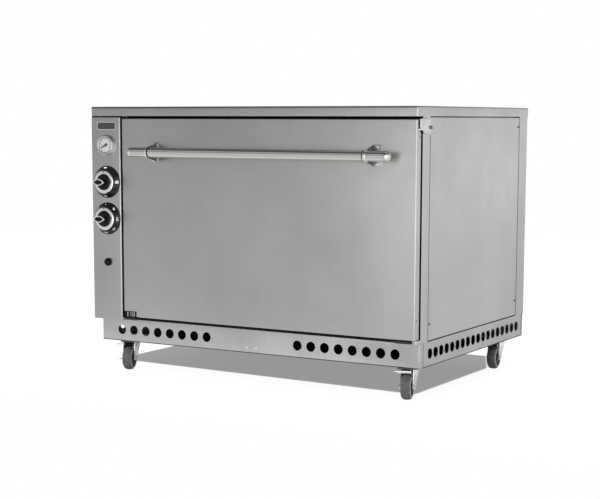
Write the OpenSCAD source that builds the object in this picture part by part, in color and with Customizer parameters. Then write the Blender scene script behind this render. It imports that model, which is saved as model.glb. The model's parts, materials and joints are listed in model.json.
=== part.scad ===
// Gas roasting oven on casters: a folded steel cabinet with a drop-down door, a control panel,
// an insulated oven chamber over two burner tubes, and a perforated base.
// Built from the cabinet's left front corner on the floor: X to the right, Y to the back, Z up.
// The whole oven is then centred on the floor under the middle of the worktop.

/* [Cabinet] */
// Width of the worktop
cabinet_w = 1200; // [1140:10:1400]
// Depth of the worktop
cabinet_d = 860; // [820:10:1000]
// Height of the body between the base and the worktop's band
body_h = 674; // [640:2:760]
// Height of the worktop's folded band
band_h = 30; // [24:1:45]
// Thickness of the folded steel sheets
sheet_t = 1.5; // [1:0.1:2]
// Depth of the door and control panel in front of the body
front_reach = 39; // [36:1:50]
// Outer radius of the folded edges
bend_r = 5; // [3:0.5:8]
// Clearance between the worktop's band and the body inside it
lid_clear = 0.5; // [0.2:0.1:1]
// Shadow gap between neighbouring outer sheets
seam = 0.6; // [0.3:0.1:0.9]

/* [Posts and side panels] */
// Width of a front corner post on the side
front_post_w = 49; // [40:1:70]
// Width of a rear corner post on the side
rear_post_w = 73; // [50:1:100]
// Width of the posts' inward folds
post_fold = 20; // [16:1:30]
// Depth of the side panels' folds
panel_fold = 12; // [8:1:16]
// Gap above and below a side panel
panel_gap = 3; // [2:0.5:6]
// Distance of a side panel's screws from its upright edges
screw_in = 9; // [7:1:20]
// Distance of a side panel's upper screws from its top
screw_down = 31; // [20:1:80]
// Distance of a side panel's lower screws from its bottom
screw_up = 50; // [20:1:80]

/* [Control panel] */
// Width of the control panel
control_w = 118; // [112:1:150]
// Gap between the control panel's top and the band
control_gap = 3; // [2:0.5:8]
// Height of the thermometer's centre below the band
gauge_drop = 95; // [85:1:100]
// Diameter of the thermometer's bezel
gauge_d = 66; // [56:1:76]
// How far the thermometer's bezel stands out
gauge_reach = 14; // [12:1:20]
// Height of the gas tap's knob below the band
tap_drop = 216; // [200:1:230]
// Height of the thermostat's knob below the band
thermostat_drop = 337; // [330:1:350]
// Diameter of a knob's marked bezel at the panel
bezel_d = 106; // [90:1:108]
// Diameter of a knob's bright ring
ring_d = 76; // [66:1:80]
// Diameter of a knob's round cap
cap_d = 53; // [44:1:56]
// How far a knob's grip stands out from the panel
grip_reach = 50; // [44:1:60]
// Length of a knob's grip
grip_l = 46; // [36:1:50]
// Height of a knob's grip
grip_h = 22; // [14:1:26]
// Diameter of a knob's spindle
spindle_d = 8; // [6:0.5:10]
// Height of the igniter button below the band
button_drop = 482; // [430:1:560]
// Diameter of the igniter's bezel
igniter_d = 26; // [24:1:34]
// Travel of the igniter button
button_travel = 5; // [3:0.5:6]
// Width of the plain plate above the thermometer
plate_w = 76; // [60:1:90]
// Height of the plain plate above the thermometer
plate_h = 26; // [18:1:30]

/* [Door] */
// Gap between the control panel and the door
door_gap = 8; // [4:0.5:12]
// Gap between the door's top and the band
door_top_gap = 8; // [5:0.5:12]
// Height of the door's bottom above the base
door_lift = 13; // [13:0.5:24]
// How far the door stays inside the worktop's right side
door_inset = 3; // [2.5:0.5:6]
// Thickness of the door without its seal
door_t = 27; // [22:1:32]
// Width of the door's seal
seal_w = 10; // [8:1:14]
// Distance of the door's seal from the chamber's mouth
seal_out = 8; // [4:1:10]
// Diameter of the hinge knuckles
knuckle_d = 10; // [8:0.5:10]
// Diameter of the hinge pins
hinge_pin_d = 6; // [4:0.5:6]
// Length of a hinge
hinge_l = 50; // [40:5:80]
// Width of the foot that closes the sill's right end
sill_foot_w = 14; // [12:1:18]
// Radial clearance of the running pins
run_clear = 0.05; // [0.02:0.01:0.1]

/* [Handle] */
// Diameter of the handle's tube
handle_d = 31; // [24:1:36]
// Wall of the handle's tube
handle_wall = 2; // [1.5:0.5:3]
// Length of the handle's straight tube
handle_l = 916; // [800:4:960]
// Distance of the handle's axis from the door
handle_reach = 50; // [44:1:70]
// Height of the handle's axis below the door's top
handle_drop = 108; // [70:1:160]
// Distance between the handle's brackets
bracket_span = 788; // [600:2:820]
// Height of a handle bracket's foot on the door
bracket_foot = 66; // [56:1:80]

/* [Latch] */
// Height of the latch pin below the door's top
latch_drop = 29; // [26:1:60]
// Distance of the latch pin from the door's front
latch_pin_y = 16; // [13:0.5:17]
// Diameter of the latch pin
latch_pin_d = 8; // [6:0.5:9]
// Distance from the latch pin to the latch's pivot
latch_l = 64; // [60:1:68]
// Thickness of the latch plate
latch_t = 3; // [2:0.5:4]
// Gap between the latch plate and the worktop's side that it swings past
latch_gap = 0.4; // [0.3:0.1:0.8]

/* [Oven chamber] */
// Distance from the control panel to the chamber
chamber_left = 57; // [52:1:90]
// Distance from the worktop's right side to the chamber
chamber_right = 55; // [52:1:90]
// Height of the chamber's bottom above the base
chamber_up = 48; // [46:1:70]
// Distance from the chamber's roof down from the band
chamber_down = 46; // [42:1:80]
// Distance from the chamber's back to the worktop's back
chamber_back = 80; // [72:1:120]
// Thickness of the chamber's liner
liner_t = 2; // [1.5:0.5:3]
// Thickness of the insulation round the chamber
wool_t = 30; // [20:1:30]
// Height of the sole plate above the chamber's bottom
sole_up = 70; // [62:1:90]
// Thickness of the sole plate
sole_t = 3; // [2:0.5:5]
// Height between two shelf levels
level_h = 80; // [60:5:90]
// Diameter of the shelf's rods
rod_d = 6; // [5:0.5:8]
// Diameter of the burner tubes
burner_d = 40; // [34:1:44]

/* [Flue and gas] */
// Outer diameter of the flue spigot
flue_d = 100; // [80:5:120]
// How far the flue spigot stands out at the back
flue_reach = 60; // [50:1:70]
// Outer diameter of the gas inlet's end
inlet_d = 21; // [17:0.5:27]
// How far the gas inlet stands out at the back
inlet_reach = 48; // [40:1:60]
// Outer diameter of the inner gas pipes
pipe_d = 14; // [10:1:16]

/* [Base and casters] */
// Height of the perforated base
base_h = 77; // [66:1:100]
// How far the base's sides lie inside the worktop's sides
base_inset = 5; // [3:0.5:12]
// Width of the base's inward folds
base_fold = 30; // [24:1:40]
// Diameter of the base's vent holes
vent_d = 32; // [24:1:34]
// Distance between the front vent holes
vent_pitch = 48.9; // [40:0.1:50]
// Number of vent holes in each front group
vent_count = 8; // [4:1:8]
// Distance from the worktop's side to the first front vent hole
vent_edge = 86.7; // [80:0.1:100]
// Distance between the side vent holes
side_vent_pitch = 40.4; // [38:0.1:43]
// Number of side vent holes
side_vent_count = 18; // [10:1:18]
// Distance from the base's front to the first side vent hole
side_vent_edge = 71; // [60:1:74]
// Height of a caster from the floor to the base
caster_h = 107; // [104:1:125]
// Diameter of a caster wheel
wheel_d = 80; // [70:1:82]
// Width of a caster wheel
wheel_w = 30; // [24:1:32]
// Distance of a wheel's axle from its swivel axis
trail = 28; // [20:1:30]
// Distance of a swivel axis from the base's side
caster_side = 62; // [52:1:90]
// Distance of a swivel axis from the base's front or back
caster_front = 80; // [52:1:110]
// Turn of the front left caster
turn_fl = 18; // [-45:1:45]
// Turn of the front right caster
turn_fr = 14; // [-45:1:45]
// Turn of the rear left caster
turn_rl = 10; // [-45:1:45]
// Turn of the rear right caster
turn_rr = 6; // [-45:1:45]

/* [Hidden] */
$fn = 48;
eps = 0.01;

// Heights of the main levels
z_base = caster_h;
z_body = z_base + base_h;
z_band = z_body + body_h;
z_top = z_band + band_h;

// Outer faces of the body inside the worktop's band
body_in = sheet_t + lid_clear;
body_x0 = body_in;
body_x1 = cabinet_w - body_in;
body_y1 = cabinet_d - body_in;
panel_y0 = front_reach + front_post_w + seam;
panel_y1 = body_y1 - rear_post_w - seam;
panel_z0 = z_body + panel_gap;
panel_z1 = z_band - panel_gap;
screw_d = 8;
screw_head = 2;

// Control panel
control_x = control_w / 2 + 5;
control_z0 = z_body - 1;
control_z1 = z_band - control_gap;
gauge_z = z_band - gauge_drop;
tap_z = z_band - tap_drop;
thermostat_z = z_band - thermostat_drop;
button_z = z_band - button_drop;
gauge_case_d = gauge_d - 8;
gauge_lip = 6;
glass_t = 1;
needle_t = 0.8;
needle_post_d = 2;
bezel_t = 17;
ring_t = 4;
cap_reach = 28;
hole_clear = 0.5;
barrel_d = igniter_d - 8;
button_d = igniter_d - 6;
button_reach = 13;
igniter_bezel_t = button_travel + 2;
stem_d = 6;
plate_t = 1.2;
plate_z = (gauge_z + gauge_d / 2 + control_z1) / 2;

// Door
door_x0 = control_w + door_gap;
door_x1 = cabinet_w - door_inset;
door_z0 = z_body + door_lift;
door_z1 = z_band - door_top_gap;
door_mid = (door_x0 + door_x1) / 2;
hinge_y = knuckle_d / 2;
hinge_z = door_z0 - 1 - knuckle_d / 2;
leaf_t = 3;
knuckle_count = 5;
knuckle_gap = 0.5;
foot_x = body_x1 - sill_foot_w;
hinge_xs = [door_x0, foot_x - 4 - hinge_l];
sill_y = knuckle_d + 1;
sill_z0 = z_body + 6;
sill_z1 = door_z0 - 1;

// Handle
handle_z = door_z1 - handle_drop;
end_cap_l = 16;
bracket_t = 4;
collar_l = 8;
sleeve_d = handle_d + 4;
foot_w = 34;
foot_in = 4;
foot_r = 5;
foot_t = 3;
foot_screw_in = 8;
edge_screw_d = 6;
edge_head = 0.8;
edge_low = [10, 59];
edge_high = [20, 52];

// Latch
latch_z = door_z1 - latch_drop;
latch_x = cabinet_w + latch_gap;
pivot_y = latch_pin_y + latch_l;
pivot_z = latch_z + 4.5;
pivot_d = 6;
notch_r = latch_pin_d / 2 + 0.6;

// Oven chamber
ch_x0 = control_w + chamber_left;
ch_x1 = cabinet_w - chamber_right;
ch_z0 = z_body + chamber_up;
ch_z1 = z_band - chamber_down;
ch_y0 = front_reach + sheet_t;
ch_y1 = cabinet_d - chamber_back;
sole_z = ch_z0 + sole_up;
ledge_w = 16;
slot_l = 60;
slot_w = 20;
slot_pitch = 90;
slot_in = 45;
slot_side = 32;
rail_t = 2;
guide_t = 4;
guide_w = 16;
rail_w = 18;
rail_in = 20;
rail_l = ch_y1 - ch_y0 - 2 * rail_in;
guide_in = 30;
guide_end = 20;
level_z0 = sole_z + 45;
level_count = floor((ch_z1 - level_z0 - 60) / level_h) + 1;
shelf_level = 2;
tray_level = 0;
shelf_clear = 4;
shelf_in = 40;
wire_pitch = 52;
tray_depth = 35;
burner_z = ch_z0 + 30;
burner_in = 180;
burner_out = 40;
burner_end = 25;
burner_ys = [ch_y0 + burner_in, ch_y1 - burner_in];
burner_x0 = ch_x0 - burner_out;
burner_x1 = ch_x1 - burner_end;
port_pitch = 40;
port_d = 4;
port_in = 30;
burner_wall = 1.5;
stand_in = 20;
stand_w = 24;
stand_t = 8;
pilot_x0 = ch_x0 - liner_t - wool_t - 10;
pilot_y = burner_ys[0] + 45;
pilot_z = burner_z + 6;
pilot_d = 12;
probe_y = 300;
probe_z = ch_z1 - 80;
probe_d = 4;
probe_start = 24;
bulb_in = 10;
bulb_l = 40;
bulb_d = 8;

// Flue and gas
louvre_count = 10;
louvre_l = 180;
louvre_h = 6;
louvre_pitch = 20;
louvre_up = 60;
flue_in = 165;
flue_down = 62;
inlet_up = 68;
flue_x = ch_x1 - flue_in;
flue_z = ch_z1 - flue_down;
inlet_z = ch_z0 + inlet_up;
pipe_x = control_x;
riser_y = 150;
tap_y = 60;
tap_l = 50;
tap_w = 40;
tap_h = 44;
manifold_out = 65;
manifold_x = ch_x0 - manifold_out;
manifold_y = tap_y + 25;
pipe_over = 20;
jet_in = 6;
jet_d = 10;
pilot_pipe_d = 6;

// Base and casters
base_x0 = base_inset;
base_x1 = cabinet_w - base_inset;
base_y0 = front_reach + 1;
base_y1 = body_y1;
vent_z = z_base + base_h / 2;
corner_l = 10;
crossbar_h = 25;
crossbar_in = 190;
mount_t = 3.5;
mount_w = 76;
race_d = 44;
race_h = 6.5;
crown_d = 62;
crown_t = 3;
swivel_d = 10;
leg_t = 3;
leg_gap = 3;
leg_back = 16;
leg_foot_r = 9;
lip_l = 12;
lip_w = 12;
fr_in = 10;
axle_d = 8;
axle_z = wheel_d / 2;
leg_x = wheel_w / 2 + leg_gap;
crown_z1 = z_base - mount_t - race_h;
crown_z0 = crown_z1 - crown_t;
hub_d = 56;
casters = [
    [base_x0 + caster_side, base_y0 + caster_front, turn_fl],
    [base_x1 - caster_side - fr_in, base_y0 + caster_front, turn_fr],
    [base_x0 + caster_side, base_y1 - caster_front, turn_rl],
    [base_x1 - caster_side, base_y1 - caster_front, turn_rr]
];

// General shapes

module from_corner() {
    translate([-cabinet_w / 2, -cabinet_d / 2, 0]) children();
}

module block(low, high) {
    translate(low) cube(high - low);
}

// Cylinder along X, from one place to another
module rod_x(x0, x1, y, z, d) {
    translate([x0, y, z]) rotate([0, 90, 0]) cylinder(h = x1 - x0, d = d);
}

// Cylinder along Y, from one place to another
module rod_y(x, y0, y1, z, d) {
    translate([x, y0, z]) rotate([-90, 0, 0]) cylinder(h = y1 - y0, d = d);
}

// Cylinder upright, from one height to another
module rod_z(x, y, z0, z1, d) {
    translate([x, y, z0]) cylinder(h = z1 - z0, d = d);
}

// Flat shape in X and Z, as thick as asked along Y
module upright_y(y0, y1) {
    translate([0, y1, 0]) rotate([90, 0, 0]) linear_extrude(height = y1 - y0) children();
}

// Flat shape in Y and Z, as thick as asked along X
module upright_x(x0, x1) {
    translate([x0, 0, 0]) rotate([90, 0, 90]) linear_extrude(height = x1 - x0) children();
}

// Rectangle with four round corners
module round_rect(w, d, r) {
    translate([r, 0]) square([w - 2 * r, d]);
    translate([0, r]) square([w, d - 2 * r]);
    for (x = [r, w - r], y = [r, d - r]) translate([x, y]) circle(r = r);
}

// Rectangle whose two front corners are round, as a folded sheet's are
module folded_rect(w, d, r) {
    translate([r, 0]) square([w - 2 * r, d]);
    translate([0, r]) square([w, d - r]);
    for (x = [r, w - r]) translate([x, r]) circle(r = r);
}

// Folded pan with its face to the front and its open side to the back
module front_pan(w, d, h, r) {
    difference() {
        linear_extrude(height = h) folded_rect(w, d, r);
        translate([sheet_t, sheet_t, sheet_t])
            linear_extrude(height = h - 2 * sheet_t) folded_rect(w - 2 * sheet_t, d, r - sheet_t);
    }
}

// Folded pan with its face up and its open side down
module top_pan(w, d, h, r) {
    difference() {
        linear_extrude(height = h) round_rect(w, d, r);
        translate([sheet_t, sheet_t, -eps])
            linear_extrude(height = h - sheet_t + eps)
                round_rect(w - 2 * sheet_t, d - 2 * sheet_t, r - sheet_t);
    }
}

// Channel of folded sheet in plan: a face along Y and two folds inward, front corner round
module post_plan(face, fold) {
    difference() {
        folded_rect(2 * face, face, bend_r);
        translate([sheet_t, sheet_t]) folded_rect(2 * face, face - 2 * sheet_t, bend_r - sheet_t);
        translate([fold, -eps]) square([2 * face, face + 2 * eps]);
    }
}

// Mirror image about the middle of the cabinet's width
module mirrored() {
    translate([cabinet_w, 0, 0]) mirror([1, 0, 0]) children();
}

// Outer cabinet

module worktop() {
    color("silver") from_corner()
        translate([0, 0, z_band]) top_pan(cabinet_w, cabinet_d, band_h, bend_r);
}

// A front post, built on the left side
module front_post() {
    translate([body_x0, front_reach, z_body])
        linear_extrude(height = z_top - sheet_t - z_body) post_plan(front_post_w, post_fold);
}

// The right post's forward foot, which closes the sill's end under the door
module post_foot() {
    translate([body_x0, sill_y, z_body])
        linear_extrude(height = sill_z1 - z_body)
            difference() {
                folded_rect(2 * sill_foot_w, front_reach - sill_y, bend_r);
                translate([sheet_t, sheet_t]) folded_rect(2 * sill_foot_w, front_reach, bend_r - sheet_t);
                translate([sill_foot_w, -eps]) square(2 * front_reach);
            }
}

module front_posts() {
    color("silver") from_corner() {
        front_post();
        mirrored() {
            front_post();
            post_foot();
        }
    }
}

module rear_post() {
    translate([body_x0, body_y1, z_body])
        mirror([0, 1, 0])
            linear_extrude(height = z_top - sheet_t - z_body) post_plan(rear_post_w, post_fold);
}

module rear_posts() {
    color("silver") from_corner() {
        rear_post();
        mirrored() rear_post();
    }
}

// A side panel, built on the left side
module side_panel() {
    difference() {
        block([body_x0, panel_y0, panel_z0], [body_x0 + panel_fold, panel_y1, panel_z1]);
        block([body_x0 + sheet_t, panel_y0 + sheet_t, panel_z0 + sheet_t],
              [body_x0 + panel_fold + eps, panel_y1 - sheet_t, panel_z1 - sheet_t]);
    }
}

module side_panel_left() {
    color("lightgray") from_corner() side_panel();
}

module side_panel_right() {
    color("lightgray") from_corner() mirrored() side_panel();
}

module back_panel() {
    low = [body_x0 + post_fold + seam, body_y1 - sheet_t, z_body + panel_gap];
    high = [body_x1 - post_fold - seam, body_y1, z_band - panel_gap];
    color("silver") from_corner() difference() {
        block(low, high);
        rod_y(flue_x, low.y - 1, high.y + 1, flue_z, flue_d + 2 * hole_clear);
        rod_y(pipe_x, low.y - 1, high.y + 1, inlet_z, inlet_d + 2 * hole_clear);
        for (k = [0:louvre_count - 1], x = [control_w + 60, (cabinet_w - louvre_l) / 2])
            block([x, low.y - 1, z_body + louvre_up + louvre_pitch * k],
                  [x + louvre_l, high.y + 1, z_body + louvre_up + louvre_h + louvre_pitch * k]);
    }
}

module sill() {
    x0 = control_w + 2;
    x1 = foot_x - seam;
    color("silver") from_corner() difference() {
        block([x0, sill_y, sill_z0], [x1, front_reach, sill_z1]);
        block([x0 - 1, sill_y + sheet_t, sill_z0 + sheet_t],
              [x1 + 1, front_reach + 1, sill_z1 - sheet_t]);
    }
}

// Face frame round the chamber's mouth, which the door's seal closes on
module front_frame() {
    x0 = control_w - 20;
    x1 = body_x1 - post_fold - seam;
    color("silver") from_corner() difference() {
        block([x0, front_reach, sill_z0], [x1, front_reach + sheet_t, z_top - sheet_t]);
        block([ch_x0, front_reach - 1, ch_z0], [ch_x1, front_reach + sheet_t + 1, ch_z1]);
    }
}

module base_front() {
    w = base_x1 - base_x0;
    color("silver") from_corner() translate([base_x0, base_y0, z_base]) difference() {
        linear_extrude(height = base_h) folded_rect(w, base_fold, bend_r);
        translate([sheet_t, sheet_t, sheet_t])
            linear_extrude(height = base_h - 2 * sheet_t)
                folded_rect(w - 2 * sheet_t, base_fold, bend_r - sheet_t);
        for (side = [-1, 1])
            translate([side < 0 ? -1 : w - sheet_t - eps, corner_l, -1])
                cube([sheet_t + 1 + eps, base_fold, base_h + 2]);
        for (side = [-1, 1], k = [0:vent_count - 1])
            translate([w / 2 + side * (cabinet_w / 2 - vent_edge - k * vent_pitch), 0, 0])
                rod_y(0, -1, sheet_t + 1, vent_z - z_base, vent_d);
    }
}

// A base side, built on the left
module base_side() {
    y0 = base_y0 + corner_l + seam;
    y1 = base_y1 - corner_l - seam;
    difference() {
        block([base_x0, y0, z_base], [base_x0 + base_fold, y1, z_body]);
        block([base_x0 + sheet_t, y0 - 1, z_base + sheet_t],
              [base_x0 + base_fold + 1, y1 + 1, z_body - sheet_t]);
        for (y = [y0, y1 - base_fold + corner_l])
            block([base_x0 + sheet_t, y - 1, z_base - 1],
                  [base_x0 + base_fold + 1, y + base_fold - corner_l + 1, z_body + 1]);
        for (k = [0:side_vent_count - 1])
            rod_x(base_x0 - 1, base_x0 + sheet_t + 1,
                  base_y0 + side_vent_edge + k * side_vent_pitch, vent_z, vent_d);
    }
}

module base_sides() {
    color("silver") from_corner() {
        base_side();
        mirrored() base_side();
    }
}

module base_rear() {
    w = base_x1 - base_x0;
    color("silver") from_corner()
        translate([base_x0, base_y1, z_base]) mirror([0, 1, 0]) difference() {
            linear_extrude(height = base_h) folded_rect(w, base_fold, bend_r);
            translate([sheet_t, sheet_t, sheet_t])
                linear_extrude(height = base_h - 2 * sheet_t)
                    folded_rect(w - 2 * sheet_t, base_fold, bend_r - sheet_t);
            for (side = [-1, 1])
                translate([side < 0 ? -1 : w - sheet_t - eps, corner_l, -1])
                    cube([sheet_t + 1 + eps, base_fold, base_h + 2]);
        }
}

// Angle bars across the base, bearers under the chamber, and a plate for each caster
module base_crossbars() {
    bar_t = 4;
    bearer_t = 2;
    chamber_z = ch_z0 - liner_t - wool_t;
    bar_z = z_body - sheet_t;
    plate_z = z_base + sheet_t;
    color("dimgray") from_corner() {
        for (y = [base_y0 + crossbar_in, cabinet_d / 2, base_y1 - crossbar_in]) difference() {
            block([base_x0 + sheet_t, y - 20, bar_z - crossbar_h], [base_x1 - sheet_t, y + 20, bar_z]);
            block([base_x0, y - 20 + bar_t, bar_z - crossbar_h - 1],
                  [base_x1, y + 21, bar_z - bar_t]);
        }
        for (x = [ch_x0 + 80, (ch_x0 + ch_x1) / 2, ch_x1 - 80]) difference() {
            block([x - 20, base_y0 + 2, z_body], [x + 20, base_y1 - 4, chamber_z]);
            block([x - 20 + bearer_t, base_y0, z_body - 1], [x + 20 - bearer_t, base_y1,
                                                             chamber_z - bearer_t]);
        }
        for (c = casters) difference() {
            block([c.x < cabinet_w / 2 ? base_x0 + bend_r : c.x - mount_w / 2 - 4,
                   c.y < cabinet_d / 2 ? base_y0 + bend_r : c.y - mount_w / 2 - 4, z_base],
                  [c.x < cabinet_w / 2 ? c.x + mount_w / 2 + 4 : base_x1 - bend_r,
                   c.y < cabinet_d / 2 ? c.y + mount_w / 2 + 4 : base_y1 - bend_r,
                   plate_z + bar_t]);
            block([base_x0, base_y0, z_base - 1],
                  [base_x0 + base_fold + lid_clear, base_y1, plate_z]);
            block([base_x1 - base_fold - lid_clear, base_y0, z_base - 1],
                  [base_x1, base_y1, plate_z]);
            block([base_x0, base_y0, z_base - 1],
                  [base_x1, base_y0 + base_fold + lid_clear, plate_z]);
            block([base_x0, base_y1 - base_fold - lid_clear, z_base - 1],
                  [base_x1, base_y1, plate_z]);
        }
    }
}

// Oven chamber

module oven_liner() {
    color("gainsboro") from_corner() {
        difference() {
            block([ch_x0 - liner_t, ch_y0, ch_z0 - liner_t],
                  [ch_x1 + liner_t, ch_y1 + liner_t, ch_z1 + liner_t]);
            block([ch_x0, ch_y0 - 1, ch_z0], [ch_x1, ch_y1, ch_z1]);
            rod_y(flue_x, ch_y1 - 1, ch_y1 + liner_t + 1, flue_z, flue_d - 2 * sheet_t);
            for (y = burner_ys)
                rod_x(ch_x0 - liner_t - 1, ch_x0 + 1, y, burner_z, burner_d + 2 * hole_clear);
            rod_x(ch_x0 - liner_t - 1, ch_x0 + 1, probe_y, probe_z, probe_d + 2 * hole_clear);
            rod_x(ch_x0 - liner_t - 1, ch_x0 + 1, pilot_y, pilot_z, pilot_d + 2 * hole_clear);
        }
        for (x = [ch_x0, ch_x1 - ledge_w])
            block([x, ch_y0, sole_z - rail_t], [x + ledge_w, ch_y1, sole_z]);
    }
}

module oven_insulation() {
    color("khaki") from_corner() difference() {
        block([ch_x0 - liner_t - wool_t, ch_y0, ch_z0 - liner_t - wool_t],
              [ch_x1 + liner_t + wool_t, ch_y1 + liner_t + wool_t, ch_z1 + liner_t + wool_t]);
        block([ch_x0 - liner_t, ch_y0 - 1, ch_z0 - liner_t],
              [ch_x1 + liner_t, ch_y1 + liner_t, ch_z1 + liner_t]);
        rod_y(flue_x, ch_y1, ch_y1 + liner_t + wool_t + 1, flue_z, flue_d + 2 * hole_clear);
        for (y = burner_ys)
            rod_x(ch_x0 - liner_t - wool_t - 1, ch_x0, y, burner_z, burner_d + 2 * hole_clear);
        rod_x(ch_x0 - liner_t - wool_t - 1, ch_x0, probe_y, probe_z, probe_d + 2 * hole_clear);
        rod_x(ch_x0 - liner_t - wool_t - 1, ch_x0, pilot_y, pilot_z, pilot_d + 2 * hole_clear);
    }
}

// Plate over the burners, with slots down both sides for the hot air
module sole_plate() {
    slot_n = floor((ch_y1 - ch_y0 - 2 * slot_in) / slot_pitch);
    color("dimgray") from_corner() difference() {
        block([ch_x0 + 2, ch_y0 + 4, sole_z], [ch_x1 - 2, ch_y1 - 4, sole_z + sole_t]);
        for (x = [ch_x0 + slot_side, ch_x1 - slot_side - slot_w], k = [0:slot_n - 1])
            block([x, ch_y0 + slot_in + slot_pitch * k, sole_z - 1],
                  [x + slot_w, ch_y0 + slot_in + slot_l + slot_pitch * k, sole_z + sole_t + 1]);
    }
}

// One side's uprights, built on the left wall
module guide_uprights() {
    for (y = [ch_y0 + guide_in, (ch_y0 + ch_y1) / 2, ch_y1 - guide_in - guide_w])
        block([ch_x0, y, sole_z + guide_end], [ch_x0 + guide_t, y + guide_w, ch_z1 - guide_end]);
}

module rack_guides() {
    color("silver") from_corner() {
        guide_uprights();
        translate([ch_x0 + ch_x1, 0, 0]) mirror([1, 0, 0]) guide_uprights();
    }
}

// One side's flat rails, welded to the uprights
module guide_rails() {
    for (k = [0:level_count - 1])
        block([ch_x0 + guide_t, ch_y0 + rail_in, level_z0 + k * level_h - rail_t],
              [ch_x0 + guide_t + rail_w, ch_y0 + rail_in + rail_l, level_z0 + k * level_h]);
}

module rack_rails() {
    color("silver") from_corner() {
        guide_rails();
        translate([ch_x0 + ch_x1, 0, 0]) mirror([1, 0, 0]) guide_rails();
    }
}

// Shelf of wires along Y, welded into a square frame that rests on the rails
module wire_shelf() {
    x0 = ch_x0 + guide_t + shelf_clear;
    x1 = ch_x1 - guide_t - shelf_clear;
    y0 = ch_y0 + shelf_in;
    y1 = ch_y1 - shelf_in;
    z = level_z0 + shelf_level * level_h;
    gaps = floor((x1 - x0) / wire_pitch);
    pitch = (x1 - x0 - rod_d) / gaps;
    color("gainsboro") from_corner() {
        difference() {
            block([x0, y0, z], [x1, y1, z + rod_d]);
            block([x0 + rod_d, y0 + rod_d, z - 1], [x1 - rod_d, y1 - rod_d, z + rod_d + 1]);
        }
        for (k = [1:gaps - 1])
            rod_y(x0 + rod_d / 2 + k * pitch, y0 + rod_d / 2, y1 - rod_d / 2, z + rod_d / 2,
                  rod_d - 1);
    }
}

module drip_tray() {
    x0 = ch_x0 + guide_t + shelf_clear;
    x1 = ch_x1 - guide_t - shelf_clear;
    y0 = ch_y0 + shelf_in;
    y1 = ch_y1 - shelf_in;
    z = level_z0 + tray_level * level_h;
    rim = rail_w + 4;
    color("gray") from_corner() difference() {
        union() {
            block([x0, y0, z], [x1, y1, z + sheet_t]);
            block([x0 + rim, y0 + rim, z - tray_depth], [x1 - rim, y1 - rim, z + eps]);
        }
        block([x0 + rim + sheet_t, y0 + rim + sheet_t, z - tray_depth + sheet_t],
              [x1 - rim - sheet_t, y1 - rim - sheet_t, z + sheet_t + 1]);
    }
}

// Two burner tubes with flame ports, each with an open mouth and a foot at its far end
module burners() {
    color("dimgray") from_corner()
        for (y = burner_ys) difference() {
            union() {
                rod_x(burner_x0, burner_x1, y, burner_z, burner_d);
                block([burner_x1 - stand_in, y - stand_w / 2, ch_z0],
                      [burner_x1 - stand_in + stand_t, y + stand_w / 2, burner_z]);
            }
            rod_x(burner_x0 - 1, burner_x1 - 2, y, burner_z, burner_d - 2 * burner_wall);
            for (k = [0:floor((burner_x1 - ch_x0 - 2 * port_in) / port_pitch)])
                rod_z(ch_x0 + port_in + k * port_pitch, y, burner_z, burner_z + burner_d, port_d);
        }
}

module pilot_burner() {
    color("goldenrod") from_corner() {
        rod_x(pilot_x0, ch_x0 + 40, pilot_y, pilot_z, pilot_d);
        rod_z(ch_x0 + 34, pilot_y, pilot_z, pilot_z + 18, pilot_d - 4);
    }
}

module flue_duct() {
    color("silver") from_corner() difference() {
        union() {
            rod_y(flue_x, ch_y1 + liner_t, cabinet_d + flue_reach, flue_z, flue_d);
            rod_y(flue_x, body_y1, body_y1 + sheet_t, flue_z, flue_d + 30);
        }
        rod_y(flue_x, ch_y1, cabinet_d + flue_reach + 1, flue_z, flue_d - 2 * sheet_t);
    }
}

// Gas train

// Pipe from the inlet at the back to the gas tap
module supply_pipe() {
    nut_t = 10;
    color("goldenrod") from_corner() {
        rod_y(pipe_x, riser_y, body_y1 + nut_t / 2, inlet_z, pipe_d);
        rod_y(pipe_x, body_y1 + nut_t, cabinet_d + inlet_reach, inlet_z, inlet_d);
        translate([pipe_x, body_y1 + nut_t, inlet_z]) rotate([90, 0, 0])
            cylinder(h = nut_t, d = inlet_d + 14, $fn = 6);
        translate([pipe_x, riser_y, inlet_z]) sphere(d = pipe_d);
        rod_z(pipe_x, riser_y, inlet_z, tap_z, pipe_d);
        translate([pipe_x, riser_y, tap_z]) sphere(d = pipe_d);
        rod_y(pipe_x, tap_y + tap_l, riser_y, tap_z, pipe_d);
    }
}

// Pipes from the tap to the thermostat and on to both burners' injectors
module gas_manifold() {
    color("goldenrod") from_corner() {
        rod_z(pipe_x, manifold_y, thermostat_z + tap_h / 2, tap_z - tap_h / 2, pipe_d);
        rod_z(pipe_x, manifold_y, burner_z, thermostat_z - tap_h / 2, pipe_d);
        translate([pipe_x, manifold_y, burner_z]) sphere(d = pipe_d);
        rod_x(pipe_x, manifold_x, manifold_y, burner_z, pipe_d);
        translate([manifold_x, manifold_y, burner_z]) sphere(d = pipe_d);
        rod_y(manifold_x, manifold_y, burner_ys[1] + pipe_over, burner_z, pipe_d);
        for (y = burner_ys) rod_x(manifold_x, burner_x0 + jet_in, y, burner_z, jet_d);
        rod_x(manifold_x + 2, pilot_x0, pilot_y, pilot_z, pilot_pipe_d);
    }
}

// Valve body behind the panel: a flange on the panel, a neck round the spindle, and the body
module valve(z) {
    neck_d = 22;
    difference() {
        union() {
            rod_y(control_x, sheet_t, sheet_t + 4, z, neck_d + 12);
            rod_y(control_x, sheet_t, tap_y, z, neck_d);
            block([control_x - tap_w / 2, tap_y, z - tap_h / 2],
                  [control_x + tap_w / 2, tap_y + tap_l, z + tap_h / 2]);
        }
        rod_y(control_x, sheet_t - 1, 31, z, spindle_d + 2 * run_clear);
    }
}

module gas_tap() {
    color("goldenrod") from_corner() valve(tap_z);
}

module thermostat() {
    color("goldenrod") from_corner() valve(thermostat_z);
}

// Control panel and what it carries

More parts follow.
